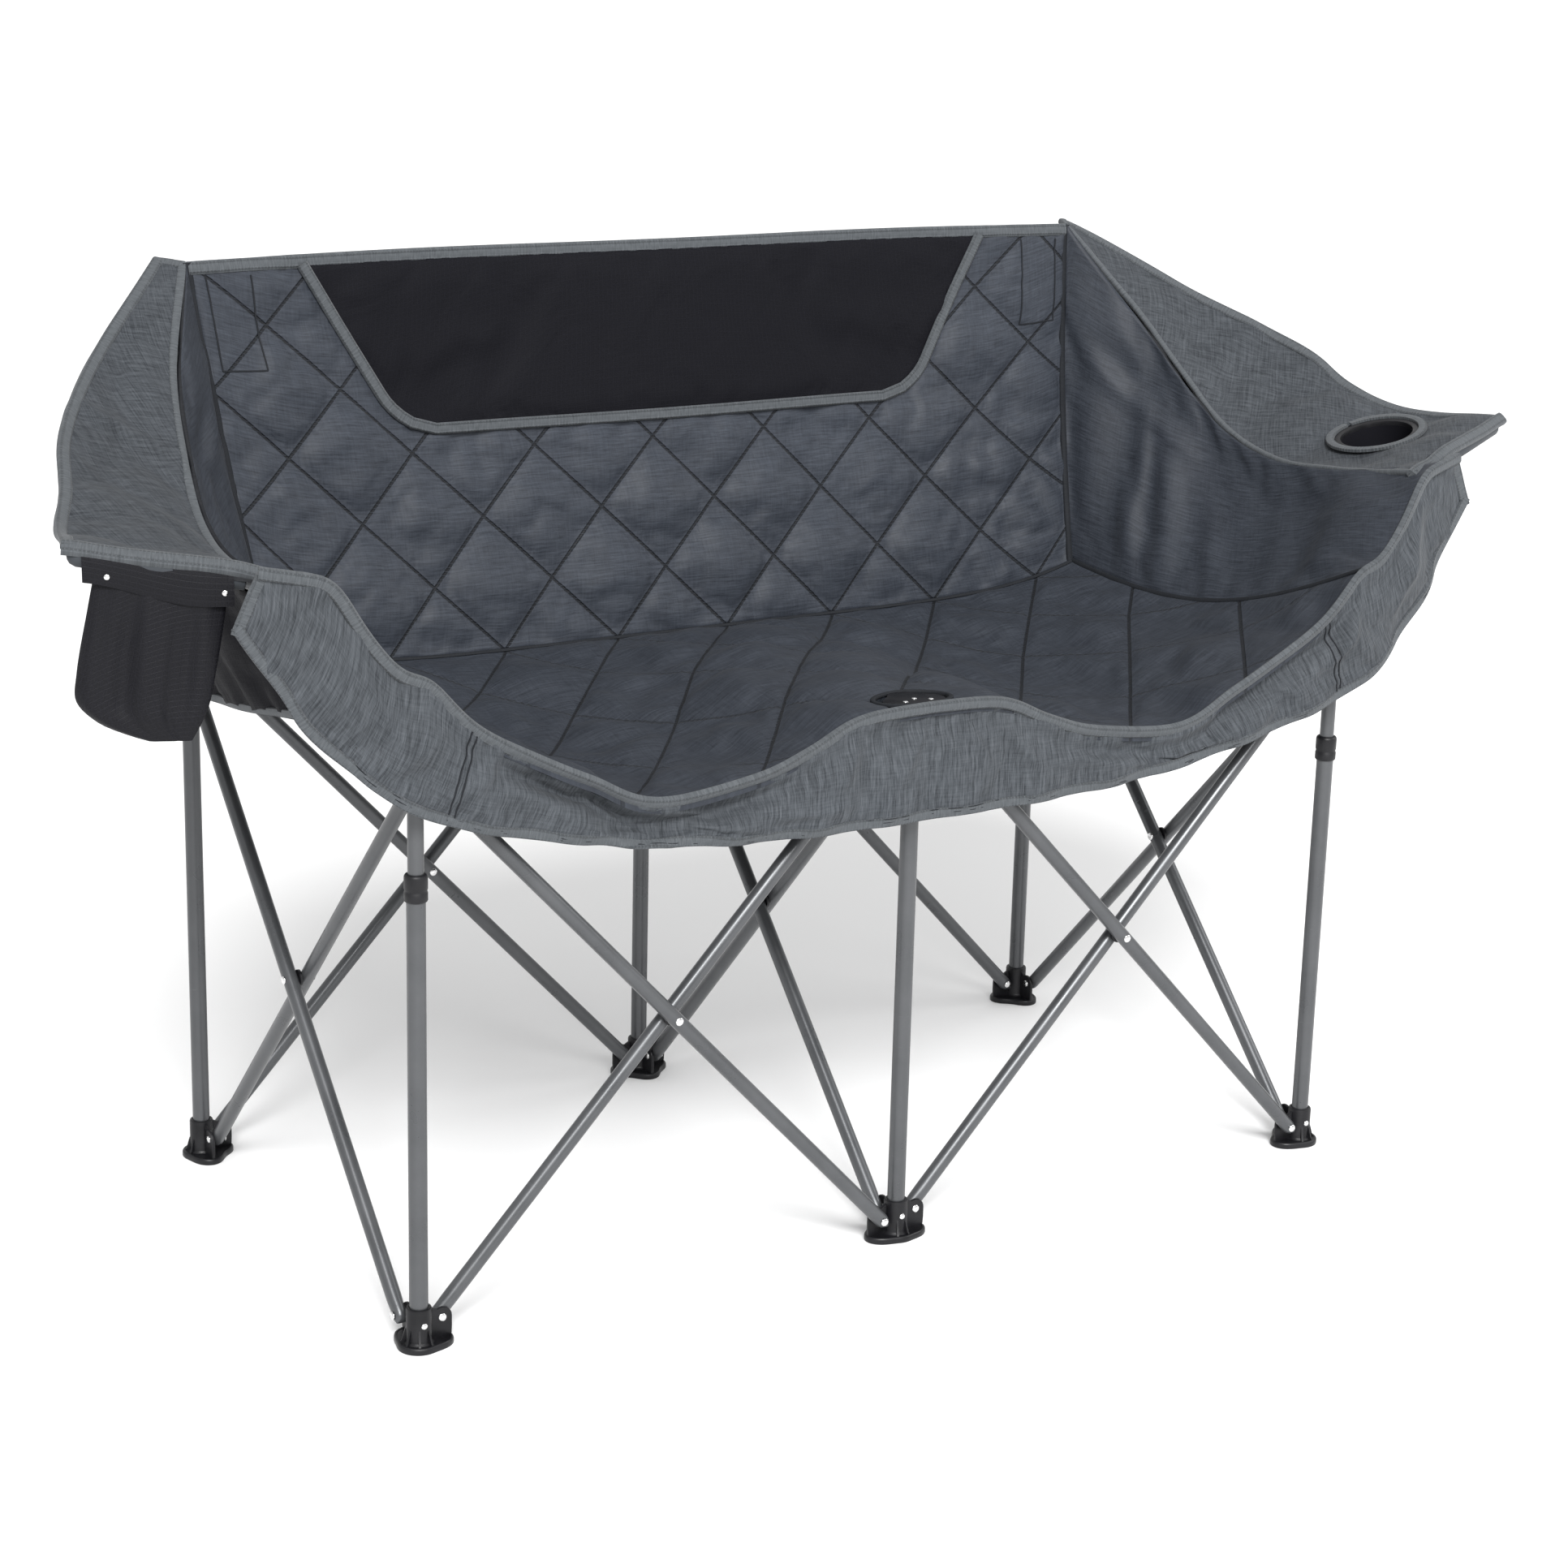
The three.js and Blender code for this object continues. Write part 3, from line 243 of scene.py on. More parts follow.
def ripstop_material(name, rough, gloss):
    """Black ripstop: a faint square grid of thicker threads over a plain weave."""
    dark, light, cell = (0.0035, 0.0035, 0.0048), (0.0085, 0.0085, 0.0115), 0.0055
    s = Shade(name)
    flat = s.uv("flat")
    grid = s.math("MAXIMUM", *(s.spread(s.triangle(c, cell), 0.03, 0.09, 1.0, 0.0) for c in s.xy(flat)))
    weave = s.noise(flat, (900, 900, 1))
    body = s.ramp(weave, [(0.35, dark), (0.7, light)])
    colour = s.mix(s.mul(grid, 0.2), body, tuple(1.6 * c for c in light))
    normal = s.bump(s.add(s.mul(grid, 0.3), s.mul(weave, 0.3)), 0.0004)
    normal = s.bump(s.noise(flat, (16, 13, 1), 3.0, 0.5, 0.8), 0.008, 0.45, normal)
    return s.surface({"Base Color": colour, "Roughness": rough, "Specular IOR Level": gloss,
                      "Normal": normal})


def paint_material(name, dark, light):
    """Grey powder coat with a fine orange peel and a few rubbed places."""
    s = Shade(name)
    place = s.place()
    tone = s.noise(place, 14.0, 4.0, 0.6)
    rub = s.spread(s.noise(place, (30, 30, 260), 4.0, 0.7, 0.4), 0.66, 0.72)
    colour = s.mix(s.mul(rub, 0.25), s.ramp(tone, [(0.3, dark), (0.7, light)]), tuple(1.8 * c for c in light))
    return s.surface({"Base Color": colour, "Metallic": 0.4,
                      "Roughness": s.spread(tone, 0.3, 0.7, 0.26, 0.36),
                      "Normal": s.bump(s.noise(place, 900.0), 0.00008, 0.5)})


def plastic_material(name, dark, light):
    """Moulded black plastic with a grained skin and dusty, slightly lighter wear."""
    s = Shade(name)
    place = s.place()
    tone = s.noise(place, 40.0, 4.0, 0.6)
    return s.surface({"Base Color": s.ramp(tone, [(0.35, dark), (0.75, light)]),
                      "Roughness": s.spread(tone, 0.3, 0.7, 0.34, 0.5), "Specular IOR Level": 0.3,
                      "Normal": s.bump(s.noise(place, 1500.0), 0.00012, 0.6)})


def metal_material(name, colour):
    """Bright zinc-plated rivets with fine turning marks."""
    s = Shade(name)
    tone = s.noise(s.place(), 420.0, 3.0, 0.6)
    return s.surface({"Base Color": s.ramp(tone, [(0.3, tuple(0.82 * c for c in colour)), (0.7, colour)]),
                      "Metallic": 1.0, "Roughness": s.spread(tone, 0.3, 0.7, 0.18, 0.32)})


# Each colour is a dark and a light tone of the thread
INSIDE = ((0.0125, 0.015, 0.0208), (0.045, 0.0522, 0.0665))
# The inside colours, darkened: painted shade for the seat and the side panels, which get less light than the
# back.
INSIDE_IN_PAINTED_SHADE = tuple(tuple(0.86 * c for c in tone) for tone in INSIDE)
SKIRT_GREY = ((0.018, 0.021, 0.025), (0.078, 0.086, 0.096))
ARM_GREY = ((0.015, 0.0175, 0.0215), (0.065, 0.072, 0.081))
REAR_GREY = ((0.0075, 0.0085, 0.0105), (0.021, 0.0235, 0.028))
SEAT_PERIOD, BACK_PERIOD = 113.0, 105.0
QUILT_SEAT = cloth_material("quilt_seat", *INSIDE_IN_PAINTED_SHADE, 0.6, 0.02, 0.7, period=SEAT_PERIOD * MM, faint=0.6)
QUILT_BACK = cloth_material("quilt_back", *INSIDE, 0.58, 0.02, 0.7, period=BACK_PERIOD * MM)
QUILT_REAR = cloth_material("quilt_rear", *REAR_GREY, 0.65, 0.0, period=BACK_PERIOD * MM)
SATIN = cloth_material("satin_side", *INSIDE_IN_PAINTED_SHADE, 0.56, 0.02, 0.75)
HEATHER = cloth_material("heather", *SKIRT_GREY, 0.78, 0.05, 0.25, slubs=1.25)
ARM_HEATHER = cloth_material("arm_heather", *ARM_GREY, 0.76, 0.05, 0.5, 0.6, 1.4)
LINING = cloth_material("lining", (0.006, 0.007, 0.009), (0.015, 0.016, 0.019), 0.7, 0.0)
# Near-black cloth for seams, piping and creases: painted shade where the cloth folds in at joints; on stitch
# lines it is partly the thread's own dark colour.
SEAM_SHADE = cloth_material("seam_shade", (0.006, 0.007, 0.009), (0.014, 0.016, 0.02), 0.8, 0.0)
BLACK = ripstop_material("black_ripstop", 0.7, 0.08)
POUCH = ripstop_material("pouch_ripstop", 0.5, 0.16)
TAPE = tape_material("binding_tape", (0.04, 0.045, 0.05), (0.092, 0.1, 0.108), 0.0046)
PAINT = paint_material("grey_paint", (0.066, 0.069, 0.073), (0.088, 0.091, 0.096))
PLASTIC = plastic_material("moulded_black", (0.004, 0.004, 0.005), (0.011, 0.011, 0.013))
METAL = metal_material("bright_rivet", (0.8, 0.8, 0.8))


# Meshes
class Build:
    """Collects points in millimetres, faces with a material number, and maps, for one object."""

    def __init__(self):
        self.points, self.faces, self.slots, self.maps = [], [], [], {}

    def add(self, points, faces, slot=0, maps=None):
        start = len(self.points)
        points = [tuple(p) for p in points]
        self.points += points
        for f in faces:
            self.faces.append([start + k for k in f])
            self.slots.append(slot)
        for name in set(self.maps) | set(maps or {}):
            have = self.maps.setdefault(name, [(0.0, 0.0)] * start)
            have += list((maps or {}).get(name, [(0.0, 0.0)] * len(points)))
        return start

    def make(self, name, materials, angle=40):
        mesh = bpy.data.meshes.new(name)
        mesh.from_pydata([(x * MM, y * MM, z * MM) for x, y, z in self.points], [], self.faces)
        mesh.polygons.foreach_set("material_index", self.slots)
        mesh.polygons.foreach_set("use_smooth", [True] * len(self.faces))
        loops = np.zeros(len(mesh.loops), int)
        mesh.loops.foreach_get("vertex_index", loops)
        for label in ("flat", "quilt"):
            if label in self.maps or label == "flat":
                layer = mesh.uv_layers.new(name=label)
                values = np.array(self.maps.get(label, [(0.0, 0.0)] * len(self.points)), float)
                layer.data.foreach_set("uv", values[loops].ravel())
        for m in materials:
            mesh.materials.append(m)
        mesh.validate()
        mesh.update()
        if angle:
            mesh.set_sharp_from_angle(angle=radians(angle))
        obj = bpy.data.objects.new(name, mesh)
        scene.collection.objects.link(obj)
        return obj


def vec(*values):
    return np.array(values)


def unit(v):
    v = np.asarray(v, float)
    return v / max(1e-9, np.linalg.norm(v))


def ring(centre, along, side, ra, rb, sides):
    """Points of an ellipse round centre, square to along; ra lies towards side."""
    along = unit(along)
    a = unit(np.asarray(side, float) - np.dot(side, along) * along)
    b = np.cross(along, a)
    t = np.arange(sides) * 2 * pi / sides
    return np.asarray(centre, float) + np.outer(ra * np.cos(t), a) + np.outer(rb * np.sin(t), b)


def skin(build, rings, slot=0, closed=True):
    """Faces from ring to ring, and over both ends where closed."""
    sides = len(rings[0])
    faces = []
    for i in range(len(rings) - 1):
        for j in range(sides):
            k = (j + 1) % sides
            faces.append((i * sides + j, i * sides + k, (i + 1) * sides + k, (i + 1) * sides + j))
    if closed:
        faces.append(tuple(range(sides - 1, -1, -1)))
        faces.append(tuple((len(rings) - 1) * sides + j for j in range(sides)))
    build.add(np.concatenate(rings), faces, slot)


def turned(build, base, axis, profile, sides, slot=0):
    """A body of revolution from (radius, height) pairs, closed at both ends."""
    axis = unit(axis)
    side = vec(1.0, 0, 0) if abs(axis[0]) < 0.9 else vec(0, 1.0, 0)
    skin(build, [ring(np.asarray(base, float) + axis * h, axis, side, r, r, sides) for r, h in profile], slot)


def rivet_head(build, at, out, radius, height, slot=0):
    """A domed head standing on a face, with a small chamfered rim."""
    steps = [(radius, 0), (radius, height * 0.25)]
    steps += [(radius * cos(a), height * (0.25 + 0.75 * sin(a)))
              for a in np.radians([20, 40, 60, 78])]
    turned(build, at, out, steps, 18, slot)


# Names of the cover's gathers as the frame folds: along the width, or into the rear corners. Only the names
# are read; nothing here gathers the cover.
GATHER = {"x": 0.192, "seat": 0.15}


def dress(obj, body, slot, nodes=(), squash=None):
    """Hangs a piece on its body and hides the CAD parts it replaces. squash names its gather, or is the side
    of the corner that it draws into; the piece then only gets a mesh of its own.
    """
    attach(obj, body)
    if nodes:
        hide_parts(*nodes)
    if squash in GATHER:
        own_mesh(obj)
    elif squash:
        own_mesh(obj)
    return obj


# Tubes and bars
TUBE_EDGE, TUBE_WALL, DOME = 0.4, 1.2, 6.0
# Ends of a bar: distances inward from the rivet, and shares of the radius
BAR_TIP = [(-8.9, 0.12), (-8.4, 0.36), (-7.2, 0.6), (-5.4, 0.8), (-3, 0.93), (0, 1.0)]
BAR_PRESSED = [(7, 0.9), (14, 0.97), (22, 1.0)]
# Turned profiles and collars are pairs of a radius and a height
SPACER = [(8.2, 0), (9, 0.5), (9, 2.9), (8.2, 3.4)]
PIN_HALF = 17.0


def add_post(name, x, y, low, top, radius, body, domed=False):
    """An upright tube with eased ends: closed by a dome, or open at both ends."""
    profile = [(radius - TUBE_EDGE, low), (radius, low + TUBE_EDGE)]
    if domed:
        profile.append((radius, top - DOME))
        profile += [(radius * cos(a), top - DOME + DOME * sin(a))
                    for a in np.radians([20, 40, 60, 80])]
    else:
        profile += [(radius, top - TUBE_EDGE), (radius - TUBE_EDGE, top)]
        profile += [(radius - TUBE_WALL, top), (radius - TUBE_WALL, low), profile[0]]
    b = Build()
    skin(b, [ring((x, y, z), (0, 0, 1), (0, 1, 0), r, r, 32) for r, z in profile], closed=domed)
    dress(b.make(name + "_tube", [PAINT]), body, "painted_tube", [name])


def add_bar(name, p, q, across):
    """A tube whose ends are pressed a little flat and rounded off past the rivets."""
    along = unit(q - p)
    end = [(s, 0.62 + 0.25 * k, k) for s, k in BAR_TIP] + [(s, k, 1) for s, k in BAR_PRESSED]
    rings = [ring(p + along * s, along, across, BAR_R * a, BAR_R * c, 28) for s, a, c in end]
    rings += [ring(q - along * s, along, across, BAR_R * a, BAR_R * c, 28) for s, a, c in end[::-1]]
    b = Build()
    skin(b, rings)
    dress(b.make(name + "_tube", [PAINT], 60), name, "painted_tube", [name])


def crossed_pair(label, post_p, post_q, across, rising, pin_on):
    """Two bars between two posts, their spacer, and the rivet through both, which rides on one of them."""
    post_p, post_q, across = (np.asarray(v, float) for v in (post_p, post_q, across))
    inset = unit(post_q - post_p) * INSET
    foot, hub = vec(0, 0, FOOT_PIVOT), vec(0, 0, HUB_PIVOT)
    shift = across * rising * BAR_OFFSET
    add_bar(f"bar_{label}_rising", post_p + inset + foot + shift, post_q - inset + hub + shift, across)
    add_bar(f"bar_{label}_falling", post_q - inset + foot - shift, post_p + inset + hub - shift, across)
    centre = (post_p + post_q + foot + hub) / 2
    b = Build()
    turned(b, centre - across * EAR_HALF, across, SPACER, 28, 1)
    turned(b, centre - across * PIN_HALF, across, [(PIN_R, 0), (PIN_R, 2 * PIN_HALF)], 16)
    for out in (across, -across):
        rivet_head(b, centre + out * RIVET_REACH, out, 4.5, 2.0)
    pin = b.make(f"rivet_{label}_pin", [METAL, PLASTIC])
    dress(pin, f"bar_{label}_{pin_on}", "bright_rivet", [f"rivet_{label}"])


# Feet and hubs: one moulding, upright or turned over
SOLE_REACH, LOBE_REACH, SOLE_SIDES = 22.0, 15.0, 72
# Insets of the sole's edge, and their heights
SOLE = [(1.2, 0), (0.4, 0.25), (0, 1.1), (0, 5.0), (0.5, 6.2), (1.5, 7.0), (3.2, 7.0), (3.8, 6.4), (5.2, 6.4)]
SOCKET_WALL, RIB_HALF, EAR_R = 3.3, 1.1, 11.0


def ear(build, towards, across, sign):
    """One ear plate with its pin, and the rivet heads on both sides."""
    towards, across = np.array(towards, float), np.array(across, float)
    outline = [(4, 5.5), (INSET + 9.6, 5.5), (INSET + 10.6, 8), (INSET + EAR_R, 16)]
    outline += [(INSET + EAR_R * cos(a), FOOT_PIVOT + EAR_R * sin(a))
                for a in np.radians(np.arange(0, 121, 15))]
    outline = np.array(outline + [(11, 41.5), (4, 42.5)])
    mid = outline.mean(0)
    inner = mid + (outline - mid) * 0.965
    layers = ((inner, -EAR_HALF), (outline, -EAR_HALF + 0.6), (outline, EAR_HALF - 0.6), (inner, EAR_HALF))
    rings = [np.array([towards * u + across * w + vec(0, 0, v) for u, v in shape])
             for shape, w in layers]
    if np.dot(np.cross(towards, (0, 0, 1)), across) > 0:
        rings = [r[::-1] for r in rings]
    skin(build, rings)
    pivot = towards * INSET + vec(0, 0, FOOT_PIVOT)
    out = across * sign
    turned(build, pivot - out * EAR_HALF, out, [(PIN_R, 0), (PIN_R, RIVET_REACH + EAR_HALF)], 16, 1)
    rivet_head(build, pivot + out * RIVET_REACH, out, 4.5, 2.0, 1)
    rivet_head(build, pivot - out * EAR_HALF, -out, 4.5, 1.8, 1)


def moulding(name, x, y, arms, bore, body, flip=False):
    """A foot, or a hub when flip turns it over. arms lists (towards, across, side) for each pair of bars."""
    b = Build()
    t = np.arange(SOLE_SIDES) * 2 * pi / SOLE_SIDES
    lobes = sum(np.maximum(0, np.cos(t) * a[0][0] + np.sin(t) * a[0][1]) ** 4 for a in arms)
    reach = SOLE_REACH + LOBE_REACH * np.minimum(1, lobes)
    skin(b, [np.stack([(reach - inset) * np.cos(t), (reach - inset) * np.sin(t), np.full(SOLE_SIDES, z)], 1)
             for inset, z in SOLE])
    wall = bore + SOCKET_WALL
    socket = [(wall + 2.4, 6.3), (wall + 0.9, 7.6), (wall, 9.5), (wall, 41.5), (wall - 0.5, 43.2),
              (wall - 1.5, 43.9), (bore + 0.35, 43.9), (bore, 43.3), (bore, 30)]
    turned(b, (0, 0, 0), (0, 0, 1), socket, 40)

    def free(way, limit):
        return all(np.dot(way, arm[0]) < limit for arm in arms)

    for turn in np.radians(22.5 + 45 * np.arange(8)):
        way = vec(cos(turn), sin(turn), 0)
        if free(way, 0.8):
            side, root = np.cross((0, 0, 1), way) * RIB_HALF, way * (wall - 1.5)
            rib = [(z, way * r) for z, r in ((6.3, 19.0), (9, 17.2), (20, wall + 1.0), (24, wall - 0.6))]
            skin(b, [np.array([edge + side, root + side, root - side, edge - side]) + vec(0, 0, z)
                     for z, edge in rib])
    for arm in arms:
        ear(b, *arm)
    for way in (vec(0, -1.0, 0), vec(0, 1.0, 0)):
        if free(way, 0.5):
            rivet_head(b, way * (wall - 0.3) + vec(0, 0, FOOT_PIVOT), way, 3.4, 1.7, 1)
    if name == "hub_front_middle":
        for dx, dy in ((-14, -5), (2, 3), (17, -6)):
            rivet_head(b, (dx, dy, 0), (0, 0, -1), 3.0, 1.2, 1)
    if flip:
        b.faces = [f[::-1] for f in b.faces]
        b.points = [(p[0], p[1], HUB_PIVOT + FOOT_PIVOT - p[2]) for p in b.points]
    b.points = [(x + p[0], y + p[1], p[2]) for p in b.points]
    dress(b.make(name + "_moulding", [PLASTIC, METAL], 35), body, "black_plastic", [name])


def arms_at(column, row, at_hub):
    """The pairs of bars that meet at a foot or hub: (towards, across, side that the bar lies on)."""
    out = []
    for sign in {-1: [1], 0: [-1, 1], 1: [-1]}[column]:
        rising = (not at_hub) if sign > 0 else at_hub
        out.append(((sign, 0, 0), (0, 1, 0), 1 if rising else -1))
    rising = (not at_hub) if row < 0 else at_hub
    out.append(((0, -row, 0), (1, 0, 0), -1 if rising else 1))
    return out


COLLAR = [(9.85, 0.3), (10.6, 0), (11.2, 0.6), (11.7, 1.6), (11.7, 9), (11.1, 10), (11.1, 12), (11.7, 13),
          (11.7, 24.6), (11.2, 26.4), (10.2, 27.6), (9.2, 28), (8.4, 27.6), (8.35, 25.6), (9.85, 25.6)]


def collar(name, x, y, foot, body):
    """The black sleeve round a front post's top."""
    b = Build()
    rings = [ring((x, y, foot + h), (0, 0, 1), (0, 1, 0), r, r, 36) for r, h in COLLAR]
    skin(b, rings + [rings[0]], closed=False)
    dress(b.make(name + "_moulding", [PLASTIC], 35), body, "black_plastic", [name])


ROWS = {"front": -1, "rear": 1}
COLUMNS = {"left": -1, "middle": 0, "right": 1}
SOLE_SEAT, REAR_TOP, CORNER_TOP, MIDDLE_TOP, COLLAR_GRIP = 8.3, 1003, 492, 537, 25
FOOT_BORE, REAR_HUB_BORE, FRONT_HUB_BORE = 9.8, 10.1, 8.3
SLIDE_LOW, SLIDE_TOP = 300, 598

for row, sy in ROWS.items():
    y = sy * HALF_ROW
    for column, sx in COLUMNS.items():
        x, leg = sx * COLUMN, f"{row}_{column}_leg"
        bore = REAR_HUB_BORE if row == "rear" else FRONT_HUB_BORE
        moulding(f"foot_{row}_{column}", x, y, arms_at(sx, sy, False), FOOT_BORE, leg)
        moulding(f"hub_{row}_{column}", x, y, arms_at(sx, sy, True), bore, f"{row}_{column}_hub", True)
        if row == "rear":
            add_post(f"post_rear_{column}", x, y, SOLE_SEAT, REAR_TOP, POST_R, leg, True)
        else:
            top = MIDDLE_TOP if column == "middle" else CORNER_TOP
            add_post(f"post_front_{column}", x, y, SOLE_SEAT, top, POST_R, leg)
            collar(f"collar_front_{column}", x, y, top - COLLAR_GRIP, leg)
add_post("slide_tube_middle", 0, -HALF_ROW, SLIDE_LOW, SLIDE_TOP, SLIDE_R, "front_middle_hub")
for row, sy in ROWS.items():
    y = sy * HALF_ROW
    crossed_pair(f"{row}_left", (-COLUMN, y, 0), (0, y, 0), (0, 1, 0), 1, "falling")
    crossed_pair(f"{row}_right", (0, y, 0), (COLUMN, y, 0), (0, 1, 0), 1, "rising")
for column, sx in COLUMNS.items():
    x = sx * COLUMN
    crossed_pair(f"side_{column}", (x, -HALF_ROW, 0), (x, HALF_ROW, 0), (1, 0, 0), -1, "rising")


# Curves and surfaces of the cover, as in the part
def lerp(a, b, t):
    return a + (b - a) * t


def catmull(points, t):
    """Centripetal Catmull-Rom through points, at share t of its spans."""
    p = np.asarray(points, float)
    n = len(p)
    at = min(max(t, 0), 1) * (n - 1)
    i = min(int(at), n - 2)
    w = at - i
    p0 = p[i - 1] if i > 0 else 2 * p[0] - p[1]
    p3 = p[i + 2] if i + 2 < n else 2 * p[-1] - p[-2]
    p1, p2 = p[i], p[i + 1]
    d = [max(1e-4, np.linalg.norm(a - b) ** 0.5) for a, b in ((p0, p1), (p1, p2), (p2, p3))]
    t1 = ((p1 - p0) / d[0] - (p2 - p0) / (d[0] + d[1]) + (p2 - p1) / d[1]) * d[1]
    t2 = ((p2 - p1) / d[1] - (p3 - p1) / (d[1] + d[2]) + (p3 - p2) / d[2]) * d[1]
    return p1 + t1 * w + (-3 * p1 + 3 * p2 - 2 * t1 - t2) * w ** 2 + (2 * p1 - 2 * p2 + t1 + t2) * w ** 3


def reading(table):
    """A smooth curve through pairs of a share and a value, as a function of the share."""
    samples = np.array([catmull(table, k / 400) for k in range(401)])
    return lambda share: float(np.interp(share, samples[:, 0], samples[:, 1]))


front_rise = reading([(0, 0), (0.13, -0.05), (0.26, -0.5), (0.37, -0.82), (0.55, -1), (0.7, -0.46),
                      (0.79, -0.06), (0.91, 0.56), (1, 1.42)])
SEAT_FRONT, FRONT_HALF, REAR_HALF, CREASE_Y, CREASE_Z = -320.0, 572.0, 529.0, 173.0, 580.0
SEAT_TOP, SEAT_RISE, CREASE_RISE, CREASE_CURVE, SEAT_SAG, EDGE_SAG = 604, 62, 36, 18, 22, 42
BACK_HALF, BACK_TOP_Y, BACK_TOP, BACK_CORNER_TOP, BACK_BOW, POST_BOW = 572, 256, 1018, 1015, 10, 14
SPLIT = (0 - SEAT_FRONT) / (CREASE_Y - SEAT_FRONT)


def seat_point(u, v):
    """A point of the seat: u from -1 to 1 across, v from 0 at the front to 1 at the crease."""
    r = abs(u)
    x = u * lerp(FRONT_HALF, REAR_HALF, v)
    y = lerp(SEAT_FRONT, CREASE_Y - CREASE_CURVE * r ** 4, v)
    z = lerp(SEAT_TOP + SEAT_RISE * front_rise(r), CREASE_Z + CREASE_RISE * r ** 6, v)
    sag = sin(pi * v) * (SEAT_SAG * sin(pi * x / COLUMN) ** 2 + EDGE_SAG * r ** 5)
    return vec(x, y, z - sag)


def back_point(u, w):
    """A point of the back: u as on the seat, w from 0 at the crease to 1 at the top."""
    foot = seat_point(u, 1)
    x = lerp(foot[0], u * BACK_HALF, w)
    between = sin(pi * x / COLUMN) ** 2
    bow = sin(pi * w) * BACK_BOW + w * POST_BOW * between * min(1, 3 * (1 - w) + 0.5)
    top = lerp(BACK_TOP, BACK_CORNER_TOP, abs(u) ** 4)
    return vec(x, lerp(foot[1] + 0.3, BACK_TOP_Y, w) + bow, lerp(foot[2], top, w))


ARM_FI, ARM_FO = vec(667, -292, 792.0), vec(880, -206, 828.0)
ARM_RI, ARM_RO = vec(582, 245, 1000.0), vec(592, 278, 1027.0)
INNER = [(0, 0, 0), (-0.01, 0.25, -0.09), (0.04, 0.44, -0.11), (0.13, 0.59, 0), (0.28, 0.72, 0.25),
         (0.52, 0.86, 0.6), (1, 1, 1)]
OUTER = [(0, 0, 0), (0.14, 0.26, -0.03), (0.24, 0.4, 0.08), (0.3, 0.5, 0.23), (0.42, 0.63, 0.38),
         (0.64, 0.81, 0.6), (1, 1, 1)]
INNER = [ARM_FI + (ARM_RI - ARM_FI) * np.array(s) for s in INNER]
OUTER = [ARM_FO + (ARM_RO - ARM_FO) * np.array(s) for s in OUTER]


def arm_point(s, t):
    """A point of the arm: s from 0 in front to 1 at the back, t from the inner to the outer edge."""
    return lerp(catmull(INNER, s), catmull(OUTER, s), t)


def side_point(s, t):
    """A point of the inner side panel, between the seat's edge and the arm's inner edge."""
    foot = seat_point(1, s) + vec(0.3, 0, 0)
    head = catmull(INNER, s) - vec(7.3, 0, 0)
    bulge = 12 * sin(pi * t) * sin(pi * s)
    fold = 5 * sin(pi * t) * sin(8 * pi * s) * s
    return lerp(foot, head, t) + vec(bulge + fold, 0, 0)


VALANCE_TOP = vec(728, -294, 806.0)
VALANCE_FOOT = vec(745, -290, 748.0)
VALANCE_HEM, VALANCE_FOLD = 482, 3.0
valance_rise = reading([(0, 0), (0.19, 0.005), (0.38, 0.04), (0.54, 0.11), (0.68, 0.2), (0.78, 0.3),
                        (0.875, 0.5), (0.93, 0.68), (0.97, 0.84), (1, 1)])
valance_corner = reading([(0, 0), (0.18, 0.09), (0.43, 0.5), (0.6, 0.88), (0.75, 0.94), (1, 1)])


def smoothstep(x, a, b):
    t = min(1, max(0, (x - a) / (b - a)))
    return t * t * (3 - 2 * t)


def valance_top(r):
    """The skirt's top edge, along the seat's front and then up to the arm. r is a share of half its width."""
    x = r * VALANCE_TOP[0]
    edge = seat_point(min(1, x / FRONT_HALF), 0)
    y = SEAT_FRONT - 0.3
    if x <= FRONT_HALF:
        return vec(x, y, edge[2])
    s = (x - FRONT_HALF) / (VALANCE_TOP[0] - FRONT_HALF)
    return vec(x, lerp(y, VALANCE_TOP[1], s * s), lerp(edge[2], VALANCE_TOP[2], valance_corner(s)))


def valance_point(u, t):
    r = abs(u)
    foot_y = lerp(SEAT_FRONT - 0.3, VALANCE_FOOT[1], smoothstep(r, 0.78, 1))
    hem = vec(r * VALANCE_FOOT[0], foot_y, lerp(VALANCE_HEM, VALANCE_FOOT[2], valance_rise(r)))
    fold = VALANCE_FOLD * (1 - t) * sin(pi * 8 * u) ** 2
    p = lerp(hem, valance_top(r), t) + vec(0, -fold, 0)
    return p * vec(-1 if u < 0 else 1, 1, 1)


# Grids of cloth
def grid_of(nu, nv, point):
    """Points of a surface in millimetres, for shares from 0 to 1 both ways."""
    return np.array([[point(i / (nu - 1), j / (nv - 1)) for j in range(nv)] for i in range(nu)], float)


def border(shape):
    """True on the outer points of a grid."""
    pins = np.zeros(shape[:2], bool)
    pins[0] = pins[-1] = True
    pins[:, 0] = pins[:, -1] = True
    return pins


def mirrored(grid, side):
    """The same surface on the left side, numbered so that its faces still face the same way."""
    return grid if side > 0 else grid[::-1] * vec(-1.0, 1.0, 1.0)


def normals_of(grid):
    n = np.cross(np.gradient(grid, axis=0), np.gradient(grid, axis=1))
    return n / np.maximum(1e-9, np.linalg.norm(n, axis=2, keepdims=True))


def lengths(grid, passes=0):
    """Distances along the cloth both ways, in metres. passes even out the steps, so threads run straight."""
    steps = [np.linalg.norm(np.diff(grid, axis=k), axis=2) for k in (0, 1)]
    rows = [steps[0].T, steps[1]]
    for _ in range(passes):
        for row in rows:
            row[1:-1] = (row[:-2] + 2 * row[1:-1] + row[2:]) / 4
    u = np.zeros(grid.shape[:2])
    v = np.zeros(grid.shape[:2])
    u[1:] = np.cumsum(steps[0], axis=0)
    v[:, 1:] = np.cumsum(steps[1], axis=1)
    u = u - u[-1:, :] / 2 + u[-1, grid.shape[1] // 2] / 2
    return np.stack([u, v], 2) * MM


